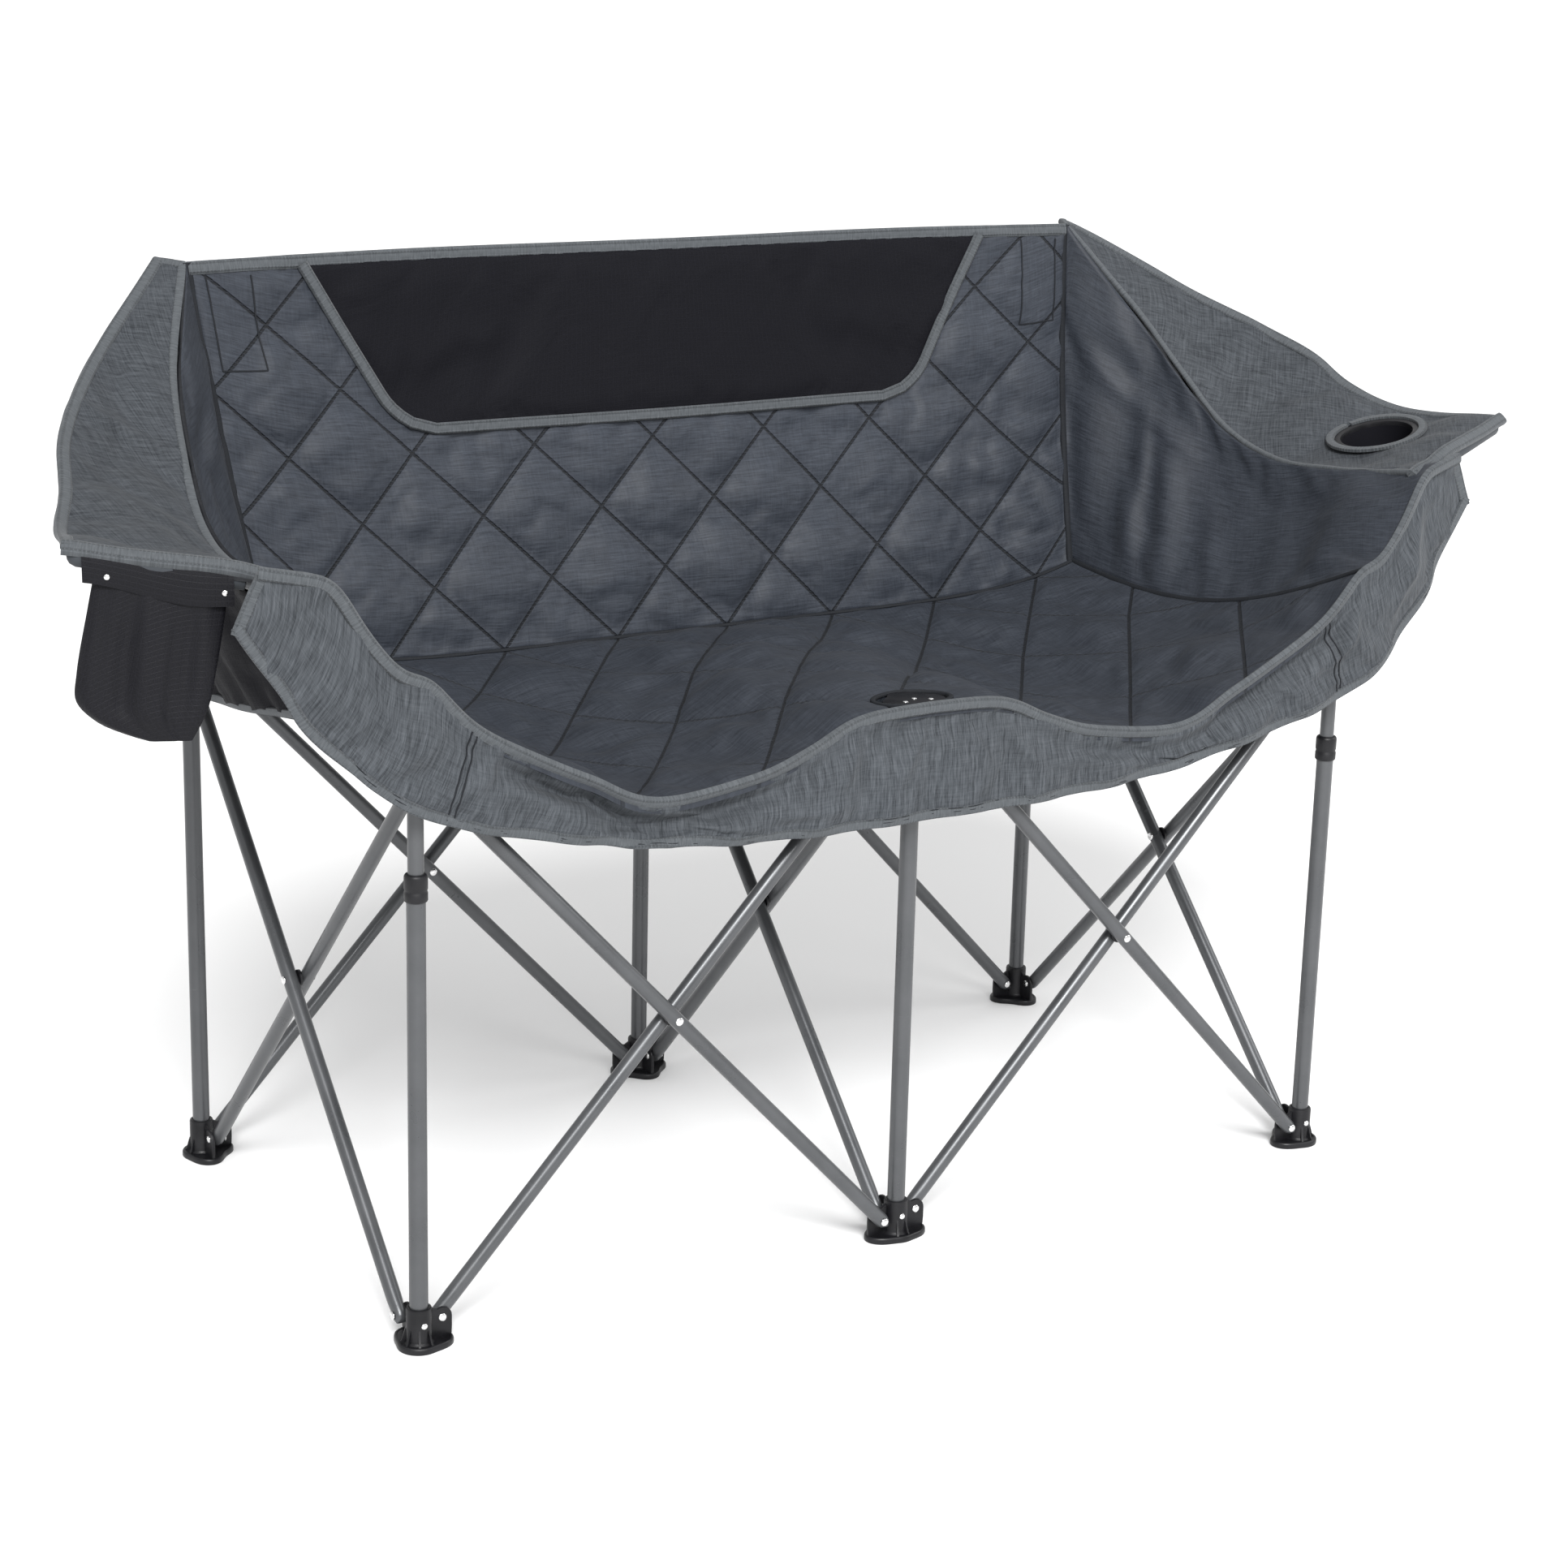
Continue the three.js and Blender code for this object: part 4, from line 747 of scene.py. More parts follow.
def grid_faces(nu, nv, keep):
    """Faces of a grid of nu by nv points, point (i, j) numbered i * nv + j."""
    faces = []
    for i in range(nu - 1):
        for j in range(nv - 1):
            if keep is None or keep[i, j]:
                faces.append((i * nv + j, (i + 1) * nv + j, (i + 1) * nv + j + 1, i * nv + j + 1))
    return faces


def kept_cells(hole):
    """Cells of a grid that have a corner outside the hole."""
    return ~(hole[:-1, :-1] & hole[1:, :-1] & hole[:-1, 1:] & hole[1:, 1:])


def rim_of(hole, keep):
    """Points inside the hole that a kept cell uses."""
    used = np.zeros(hole.shape, bool)
    for i, j in ((0, 0), (1, 0), (0, 1), (1, 1)):
        used[i:used.shape[0] - 1 + i, j:used.shape[1] - 1 + j] |= keep
    return hole & used


CLOTH_FRAMES = 20


def settle(grid, pins, pressure, slack, cap, keep=None):
    """Runs cloth on a grid whose pinned points stay, pushed along its normals, and returns the settled
    grid. No point moves further than cap."""
    nu, nv = grid.shape[:2]
    b = Build()
    b.add(grid.reshape(-1, 3), grid_faces(nu, nv, keep))
    obj = b.make("cloth_at_work", [], 0)
    group = obj.vertex_groups.new(name="pins")
    group.add([int(k) for k in np.nonzero(pins.ravel())[0]], 1.0, "REPLACE")
    mod = obj.modifiers.new("cloth", "CLOTH")
    s = mod.settings
    s.quality = 5
    s.mass = 0.25
    s.tension_stiffness = s.compression_stiffness = 10
    s.shear_stiffness = 5
    s.bending_stiffness = 0.15
    s.tension_damping = s.compression_damping = 8
    s.use_pressure = True
    s.uniform_pressure_force = pressure
    s.vertex_group_mass = "pins"
    s.shrink_min = -slack
    s.effector_weights.gravity = 0.0
    mod.collision_settings.use_collision = False
    mod.collision_settings.use_self_collision = False
    mod.point_cache.frame_start, mod.point_cache.frame_end = 1, CLOTH_FRAMES
    for f in range(1, CLOTH_FRAMES + 1):
        scene.frame_set(f)
    done = obj.evaluated_get(bpy.context.evaluated_depsgraph_get())
    moved = np.zeros(len(b.points) * 3)
    done.data.vertices.foreach_get("co", moved)
    bpy.data.objects.remove(obj)
    scene.frame_set(1)
    shift = np.nan_to_num(moved.reshape(nu, nv, 3) / MM - grid)
    size = np.linalg.norm(shift, axis=2, keepdims=True)
    return grid + shift * np.minimum(1, cap / np.maximum(size, 1e-6))


def eased(grid, pins, passes):
    """The grid with its small wrinkles evened out, except at the pinned points."""
    out = grid.copy()
    for _ in range(passes):
        inner = out[1:-1, 1:-1]
        near = (out[:-2, 1:-1] + out[2:, 1:-1] + out[1:-1, :-2] + out[1:-1, 2:]) / 4
        out[1:-1, 1:-1] = np.where(pins[1:-1, 1:-1, None], inner, lerp(inner, near, 0.6))
    return out


def shell(build, front, rear, slots=(0, 1), keep=None, quilt=None):
    """A closed sheet: front and rear grids of the same size, joined along every open edge."""
    nu, nv = front.shape[:2]
    maps = {"flat": lengths(front, 200).reshape(-1, 2)}
    if quilt is not None:
        maps["quilt"] = quilt.reshape(-1, 2)
    faces = grid_faces(nu, nv, keep)
    start_a = build.add(front.reshape(-1, 3), faces, slots[0], maps)
    start_b = build.add(rear.reshape(-1, 3), [f[::-1] for f in faces], slots[1], maps)
    sides = {(f[k], f[(k + 1) % 4]) for f in faces for k in range(4)}
    for a, c in sorted(sides):
        if (c, a) not in sides:
            build.faces.append([start_a + c, start_a + a, start_b + a, start_b + c])
            build.slots.append(slots[0])


TAPE_SECTION = [(-1, -0.5), (-1, 0.3), (-0.93, 0.75), (-0.6, 1), (0, 1.06), (0.6, 1), (0.93, 0.75), (1, 0.3),
                (1, -0.5), (0.6, -0.95), (0, -1), (-0.6, -0.95)]


def tape(build, points, normals, half, rise, closed=False):
    """A flat band along points; normals face out of the cloth that it is sewn to."""
    p = np.asarray(points, float)
    n = np.asarray(normals, float)
    along = np.gradient(p, axis=0)
    if closed:
        along[0] = along[-1] = p[1] - p[-2]
    along /= np.maximum(1e-9, np.linalg.norm(along, axis=1, keepdims=True))
    n = n - (n * along).sum(1, keepdims=True) * along
    n /= np.maximum(1e-9, np.linalg.norm(n, axis=1, keepdims=True))
    w = np.cross(along, n)
    run = np.concatenate([[0], np.cumsum(np.linalg.norm(np.diff(p, axis=0), axis=1))])
    m = len(TAPE_SECTION)
    pts, uv = [], []
    for k in range(len(p)):
        for a, c in TAPE_SECTION:
            pts.append(p[k] + w[k] * a * half + n[k] * c * rise)
            uv.append((run[k] * MM, a * half * MM))
    faces = []
    for k in range(len(p) - 1):
        for j in range(m):
            q = (j + 1) % m
            faces.append((k * m + j, (k + 1) * m + j, (k + 1) * m + q, k * m + q))
    faces.append(tuple(range(m)))
    faces.append(tuple((len(p) - 1) * m + j for j in range(m - 1, -1, -1)))
    build.add(pts, faces, 0, {"flat": uv})


def inward(grid, edge):
    """Lines of points that run inward from one edge of a grid, as an array (along the edge, inward, xyz)."""
    return {"u0": grid.swapaxes(0, 1), "u1": grid[::-1].swapaxes(0, 1), "v0": grid, "v1": grid[:, ::-1]}[edge]


def edge_tape(build, grid, edge, out, thickness, half, inset, over):
    """Binding that lies on the cloth along one edge of a grid, whose outer side is its normal times out."""
    path, facing = [], []
    for line, normal in zip(inward(grid, edge), out * inward(normals_of(grid), edge)):
        away = np.concatenate([[0], np.cumsum(np.linalg.norm(np.diff(line, axis=0), axis=1))])
        path.append([np.interp(inset, away, line[:, k]) for k in range(3)])
        near = np.exp(-((away - inset) / half) ** 2)[:, None]
        facing.append((normal * near).sum(0) / near.sum())
    path, facing = np.array(path), np.array(facing)
    for _ in range(5):
        path[1:-1] = (path[:-2] + 2 * path[1:-1] + path[2:]) / 4
        facing[1:-1] = (facing[:-2] + 2 * facing[1:-1] + facing[2:]) / 4
    tape(build, path - facing * thickness / 2, facing, half, thickness / 2 + over)


def ridges(shape, size, lines):
    """Heights of soft folds on a grid. A line is two ends in shares of the cloth, a width and a height."""
    a, b = np.meshgrid(np.linspace(0, size[0], shape[0]), np.linspace(0, size[1], shape[1]), indexing="ij")
    out = np.zeros(shape)
    for (s0, t0), (s1, t1), width, height in lines:
        p, q = np.array([s0 * size[0], t0 * size[1]]), np.array([s1 * size[0], t1 * size[1]])
        d = q - p
        reach = float(np.linalg.norm(d))
        along = ((a - p[0]) * d[0] + (b - p[1]) * d[1]) / reach ** 2
        away = ((a - p[0]) * d[1] - (b - p[1]) * d[0]) / reach
        end = np.clip(np.minimum(along, 1 - along) * 3 + 0.15, 0, 1)
        out += height * np.exp(-(away / width) ** 2) * end * end * (3 - 2 * end)
    return out


SIDES = (("right", 1), ("left", -1))


def sewn(build, name, material, body, squash, slot="quilted_fabric", angle=50):
    """Makes a tape or a seam, and hangs it on its body. Its slot, heather for every tape, is not used."""
    slot = "heather_fabric" if material is TAPE else slot
    dress(build.make(name, [material], angle), body, slot, [], squash)


# Quilted seat in two halves, with an opening for the middle hub
HOLE_Y, HOLE_X_HALF, HOLE_Y_HALF, HALF_AT_HOLE = -281.0, 44.0, 32.0, 566
DIAMOND = 156.0
SEAT_PAD, BACK_PAD = 12.0, 12.0


def hole_share(points):
    """Below 1 inside the opening for the hub."""
    return np.hypot(points[..., 0] / HOLE_X_HALF, (points[..., 1] - HOLE_Y) / HOLE_Y_HALF)


def seam_counts(x, rise):
    """Two counts, whole on the quilting's two families of seams. rise counts diamonds up from the crease."""
    across, up = x / DIAMOND + 1 / 6, rise - 1.5
    return np.stack([across + up, across - up], -1)


def off_seam(counts, period):
    """How far each point is from the nearest seam of each family."""
    return np.abs(counts - np.round(counts)) * period


def seat_cover():
    front_rows, rear_rows = 49, 27
    us = np.linspace(-1, 1, 177)
    vs = np.concatenate([np.linspace(0, SPLIT, front_rows + 1), np.linspace(SPLIT, 1, rear_rows + 1)[1:]])
    base = np.array([[seat_point(u, v) for v in vs] for u in us])
    down = np.where(vs > SPLIT, (1 - vs) / (1 - SPLIT), 1 + (SPLIT - vs) / SPLIT * 5 / 3)
    counts = seam_counts(us[:, None] * FRONT_HALF + 0 * vs, -down[None, :] + 0 * us[:, None])
    faint, strong = np.moveaxis(off_seam(counts, SEAT_PERIOD), -1, 0)
    hole = hole_share(base) < 1
    keep = kept_cells(hole)
    rim = rim_of(hole, keep)
    share = np.maximum(hole_share(base[rim]), 1e-3)
    base[rim, 0] /= share
    base[rim, 1] = HOLE_Y + (base[rim, 1] - HOLE_Y) / share
    pins = border(base.shape) | hole | (strong < 3.6) | (faint < 2.6)
    top = eased(settle(base, pins, pressure=3.2, slack=0.07, cap=16, keep=keep), pins, 3)
    top[..., 2] = np.maximum(top[..., 2], base[..., 2] - 2)
    groove = 3.0 * np.exp(-(strong / 4.5) ** 2) + 0.8 * np.exp(-(faint / 3.0) ** 2)
    top = top - vec(0, 0, 1.0) * (groove * ~border(base.shape))[..., None]
    under = base - vec(0, 0, SEAT_PAD)
    for name, rows, part_keep in (("seat_front", slice(0, front_rows + 1), keep[:, :front_rows]),
                                  ("seat_rear", slice(front_rows, None), None)):
        b = Build()
        shell(b, top[:, rows], under[:, rows], keep=part_keep, quilt=counts[:, rows])
        obj = dress(b.make(name + "_quilt", [QUILT_SEAT, LINING], 60), name, "quilted_fabric", [name], "seat")
    # A near-black strip along the crease between seat and back: painted shade in the fold, not real piping.
    b = Build()
    line = [seat_point(u, 1) + vec(0, -0.5, 1.0) for u in us]
    tape(b, line, [(0, -0.7, 0.7)] * len(us), 2.0, 1.2)
    sewn(b, "crease_shade_strip", SEAM_SHADE, "rear_middle_leg", "x", angle=60)


def hub_opening_rim():
    # A near-black ring round the opening for the hub: painted shade at the opening's edge.
    b = Build()
    loop = []
    for a in np.linspace(0, 2 * pi, 49):
        x, y = HOLE_X_HALF * cos(a), HOLE_Y + HOLE_Y_HALF * sin(a)
        v = max(0, (y - SEAT_FRONT) / (CREASE_Y - SEAT_FRONT))
        loop.append(seat_point(x / HALF_AT_HOLE, v) + vec(0, 0, 0.8))
    tape(b, loop, [(0, 0, 1.0)] * len(loop), 2.6, 1.8, closed=True)
    sewn(b, "hub_opening_tape", SEAM_SHADE, "seat_front", "x")


# Quilted back
HEAD_TOP, HEAD_BOTTOM, HEAD_TOP_HALF, HEAD_BOTTOM_HALF, HEAD_CORNER = 1009.0, 824.0, 442.0, 335.0, 40.0
SLEEVE_X = 530.0
SHARES_ON_BACK = np.linspace(0, 1, 60)
HEIGHTS_ON_BACK = np.array([back_point(0, w)[2] for w in SHARES_ON_BACK])


def head_half(z):
    """Half the head panel's width at a height, with its lower corners rounded."""
    share = (z - HEAD_BOTTOM) / (HEAD_TOP - HEAD_BOTTOM)
    low = max(0, HEAD_CORNER - (z - HEAD_BOTTOM))
    rounded = sqrt(max(0, HEAD_CORNER ** 2 - low ** 2))
    return lerp(HEAD_BOTTOM_HALF, HEAD_TOP_HALF, share) - HEAD_CORNER + rounded


def stitched(build, grid, ends, half=0.9, count=24):
    """A seam on a settled grid, along a straight line between two places given in shares."""
    normal = normals_of(grid)
    points, facing = [], []
    for k in np.linspace(0, 1, count):
        s, t = (lerp(ends[0][m], ends[1][m], k) for m in (0, 1))
        i, j = s * (grid.shape[0] - 1), t * (grid.shape[1] - 1)
        a, c = min(int(i), grid.shape[0] - 2), min(int(j), grid.shape[1] - 2)
        at, out = (lerp(lerp(g[a, c], g[a + 1, c], i - a), lerp(g[a, c + 1], g[a + 1, c + 1], i - a), j - c)
                   for g in (grid, normal))
        points.append(at + out * 0.5)
        facing.append(out)
    tape(build, points, facing, half, 0.5)


def back_cover():
    base = grid_of(190, 76, lambda s, w: back_point(2 * s - 1, w))
    us, ws = np.linspace(-1, 1, 190), np.linspace(0, 1, 76)
    counts = seam_counts(us[:, None] * BACK_HALF + 0 * ws, 3 * ws[None, :] + 0 * us[:, None])
    distance = off_seam(counts, BACK_PERIOD).min(-1)
    head = np.array([[z > HEAD_BOTTOM - 8 and abs(x) < head_half(z) + 9 for x, y, z in col] for col in base])
    pins = (distance < 3.4) | head | border(base.shape)
    face = normals_of(base)
    top = eased(settle(base, pins, pressure=3.2, slack=0.07, cap=15), pins, 1)
    sleeve = np.exp(-((np.abs(base[..., 0]) - SLEEVE_X) / 34) ** 6) * np.clip((base[..., 2] - 880) / 20, 0, 1)
    top = lerp(top, base + face * 2.0, 0.75 * (sleeve * ~border(base.shape))[..., None])
    top = top - face * (1.5 * np.exp(-(distance / 3.0) ** 2) * ~head)[..., None]
    rear = base + vec(0, BACK_PAD, -3.0) - face * (4 * np.minimum(1, distance / 24) ** 0.7)[..., None]
    rear[:, -1] = base[:, -1] + vec(0, 6.0, -1.5)
    b = Build()
    shell(b, top, rear, quilt=counts)
    obj = b.make("back_quilt", [QUILT_BACK, QUILT_REAR], 0)
    dress(obj, "rear_middle_leg", "quilted_fabric", ["back_panel"], "x")
    b = Build()
    edge_tape(b, top, "v1", 1, 6.0, 7.5, 6.0, 1.6)
    sewn(b, "back_top_tape", TAPE, "rear_middle_leg", "x")
    # Piping along the back's sides that closes the gap to the side panels; its near-black colour is painted
    # shade in that joint.
    b = Build()
    for side in ("u0", "u1"):
        edge_tape(b, base, side, 1, 8.0, 4.4, 0.6, 1.0)
    sewn(b, "back_side_piping", SEAM_SHADE, "rear_middle_leg", "x")
    # Stitch lines in the near-black seam cloth: partly dark thread, partly painted shade in the stitched
    # grooves.
    b = Build()
    for x in (-SLEEVE_X, SLEEVE_X):
        left, right = ((x + dx) / (2 * BACK_HALF) + 0.5 for dx in (-25, 25))
        for s in (left, right):
            stitched(b, top, ((s, 0.72), (s, 0.96)))
        stitched(b, top, ((left, 0.72), (right, 0.72)))
    sewn(b, "sleeve_stitching", SEAM_SHADE, "rear_middle_leg", "x")


def head_panel():
    def point(s, t):
        z = lerp(HEAD_BOTTOM, HEAD_TOP, t)
        w = float(np.interp(z, HEIGHTS_ON_BACK, SHARES_ON_BACK))
        x = lerp(-1, 1, s) * head_half(z)
        return back_point(x / lerp(REAR_HALF, BACK_HALF, w), w) + vec(0, -1.2, 0)

    base = grid_of(96, 24, point)
    front = settle(base, border(base.shape), pressure=0.4, slack=0.012, cap=5)
    front[..., 1] = np.minimum(front[..., 1], base[..., 1])
    b = Build()
    shell(b, front, base + vec(0, 0.9, 0), slots=(0, 0))
    obj = b.make("head_panel_cloth", [BLACK], 0)
    dress(obj, "rear_middle_leg", "black_fabric", ["head_panel"], "x")
    b = Build()
    edge = list(base[0, ::-1]) + list(base[1:-1, 0]) + list(base[-1])
    tape(b, np.array(edge) + vec(0, -1.6, 0), [(0, -1.0, 0.1)] * len(edge), 6.5, 1.8)
    sewn(b, "head_panel_tape", TAPE, "rear_middle_leg", "x")


def post_sleeves():
    for label, share in COLUMNS.items():
        x, rings = share * COLUMN, []
        for z, r in ((901, 12), (904, 12.4), (960, 12.3), (1006, 12), (1011, 10.8)):
            arc = [(x + r * cos(a), HALF_ROW + r * sin(a), z)
                   for a in np.radians(np.arange(0, 181, 15))]
            rings.append(np.array(arc + [(x - 11.6, 264, z), (x, 262.5, z), (x + 11.6, 264, z)]))
        b = Build()
        skin(b, rings)
        sewn(b, f"post_sleeve_{label}", HEATHER, "rear_middle_leg", "x", "heather_fabric")


# Side panels, arms and black outer sides
SEWN_TO = 706.0


def corner_pull(s):
    """How far the rear end is drawn into the back's top corner."""
    return smoothstep(s, 0.86, 1)


def side_cover(side, sign):
    """The inner side panel. In front it runs out to the valance's top edge, which it is sewn to."""
    def point(s, t):
        corner = back_point(1, t) + vec(1.5, -1.0, 0)
        p = lerp(side_point(s, t), corner, corner_pull(s))
        seam = valance_top(lerp(FRONT_HALF, SEWN_TO, t ** 1.2) / VALANCE_TOP[0]) + vec(0, 3.0, 1.0)
        return lerp(seam, p, smoothstep(s, 0, 0.16))

    base = grid_of(100, 46, point)
    lines = [((0.93, -0.1), (0.9, 0.95), 15, 6), ((0.81, -0.2), (0.79, 0.75), 19, 8),
             ((0.66, -0.2), (0.71, 0.7), 22, 7), ((0.92, 0.66), (0.6, 0.7), 13, 4),
             ((0.5, -0.2), (0.56, 0.6), 26, 5), ((1.02, 0.8), (0.84, 0.62), 12, 4),
             ((0.35, -0.1), (0.3, 0.7), 30, 4), ((0.76, 0.12), (0.46, 0.3), 18, 3)]
    pins = border(base.shape)
    push = 1.3 * ridges(base.shape[:2], (560, 330), lines) * ~pins
    edge = np.minimum(1, 6 * np.minimum(np.linspace(0, 1, 46), np.linspace(1, 0, 46)))
    inner = base - normals_of(base) * (push * edge[None, :])[..., None]
    inner = eased(settle(inner, pins, pressure=-0.3, slack=0.025, cap=8), pins, 4)
    outer = inner + normals_of(inner) * 5.0
    outer[[0, -1]] = base[[0, -1]] + vec(3.0, 0, 0)
    b = Build()
    shell(b, mirrored(outer, sign), mirrored(inner, sign), slots=(1, 0))
    obj = b.make(f"side_panel_{side}_cloth", [SATIN, LINING], 0)
    dress(obj, f"rear_{side}_leg", "quilted_fabric", [f"side_panel_{side}"], sign)
    # A near-black seam where the side panel meets the seat: painted shade in that joint.
    b = Build()
    edge_tape(b, mirrored(base, sign), "v0", -1, 2.0, 3.0, 1.0, 1.6)
    sewn(b, f"side_seam_{side}", SEAM_SHADE, f"rear_{side}_leg", sign)


ARM_S_CUP = 0.157
CUP_X, CUP_Y, CUP_HOLE, CUP_DEPTH = 759.0, -123.0, 51.3, 112.0
cup_inner, cup_outer = catmull(INNER, ARM_S_CUP), catmull(OUTER, ARM_S_CUP)
cup_axis = unit(np.cross(cup_inner - cup_outer, (0, -1, 0)))
cup_t = (CUP_X - cup_inner[0]) / (cup_outer[0] - cup_inner[0])
cup_centre = vec(CUP_X, CUP_Y, lerp(cup_inner[2], cup_outer[2], cup_t) + 4.3)


def hem_at(share):
    """The line of the arm's front hem, which the tube's end lies in."""
    return lerp(ARM_FI, ARM_FO, share) + vec(0, 10.35, -10.35)


def arm_cover(side, sign):
    """The arm's padded cloth. Its rear end comes down to the corner of the back's top binding."""
    rear_out = vec(581.0 if sign > 0 else 599.0, 280, 1019)

    def point(s, t):
        corner = lerp(vec(574.0, 258, 1015), rear_out, t)
        return lerp(arm_point(s, t), corner, corner_pull(s))

    base = grid_of(96, 34, point)
    pins = border(base.shape)
    keep = None
    if sign > 0:
        rel = base - cup_centre
        along = (rel @ cup_axis)[..., None] * cup_axis
        radius = np.linalg.norm(rel - along, axis=2)
        hole = radius < CUP_HOLE
        keep = kept_cells(hole)
        rim = rim_of(hole, keep)
        base[rim] = (cup_centre + along + (rel - along) * CUP_HOLE / np.maximum(1, radius)[..., None])[rim]
        pins |= radius < CUP_HOLE + 5
    upper = eased(settle(base, pins, pressure=-0.7, slack=0.022, cap=8, keep=keep), pins, 2)
    depth = 5.0 + 7.0 * np.sqrt(np.sin(pi * np.linspace(0, 1, base.shape[1])).clip(0))
    under = upper + normals_of(upper) * depth[None, :, None]
    b = Build()
    shell(b, mirrored(under, sign), mirrored(upper, sign), slots=(1, 0), keep=keep)
    flip = vec(sign, 1.0, 1.0)
    hem = ((0.275, 9.6), (0.28, 10.7), (0.62, 10.9), (0.93, 10.4), (0.955, 8), (0.965, 5), (0.97, 2))
    skin(b, [ring(hem_at(k) * flip, (ARM_FO - ARM_FI) * flip, (0, 1, 0), r, r, 28) for k, r in hem])
    obj = b.make(f"arm_{side}_cloth", [ARM_HEATHER, LINING], 50)
    body = f"rear_{side}_leg"
    dress(obj, body, "heather_fabric", [f"arm_panel_{side}"], sign)

    b = Build()
    shown = mirrored(upper, sign)
    edge_tape(b, shown, "v0", -1, 5.0, 3.2 if sign > 0 else 4.6, 2.0, 1.6)
    edge_tape(b, shown, "v1", -1, 5.0, 6.5, 5.0, 1.4)
    edge_tape(b, shown, "u1" if sign > 0 else "u0", -1, 5.0, 5.0, 3.0, 1.4)
    shares = np.linspace(-0.01, 1.0, 40)
    lip = np.array([lerp(ARM_FI, ARM_FO, k) + vec(0, 3.0, -4.0) for k in shares])
    lip[:, 2] += 3 * np.sin(pi * shares) ** 2 + 1.0 * np.sin(17 * shares + 2 * np.sin(5 * shares))
    tape(b, lip * flip, [(0, -0.7, 0.7)] * len(lip), 7.5, 4.6)
    sewn(b, f"arm_{side}_tape", TAPE, body, sign)


def outer_side(side, sign):
    """The black panel that hangs under the arm, outside the inner one."""
    low_front, low_rear = vec(640, -226, 640.0), vec(603, 258, 562.0)

    def point(s, t):
        head = arm_point(lerp(1 / 12, 11 / 12, s), 0.16) - vec(0, 0, 15.0)
        wave = 5 * sin(7.3 * s + 1.7 * sin(3 * s)) * (1 - t) ** 0.7 * sin(pi * s)
        reach = 1 - smoothstep(s, 0, 0.2)
        head = head + vec(14.0, -74, 2) * reach
        foot = lerp(low_front, low_rear, s) + vec(24.0, -58, 14) * reach
        return lerp(foot, head, t) + vec(abs(wave), 0, -7 * sin(pi * s) * (1 - t))

    grid = grid_of(44, 26, point)
    shown = mirrored(settle(grid, border(grid.shape), pressure=0.3, slack=0.02, cap=8), sign)
    body = f"rear_{side}_leg"
    b = Build()
    shell(b, shown, shown - normals_of(shown) * 2.0, slots=(0, 0))
    obj = b.make(f"outer_side_{side}_cloth", [BLACK], 0)
    dress(obj, body, "black_fabric", [f"outer_side_{side}"], sign)
    b = Build()
    edge_tape(b, shown, "v0", 1, 2.0, 4.5, 3.5, 0.9)
    sewn(b, f"outer_side_{side}_tape", TAPE, body, sign)


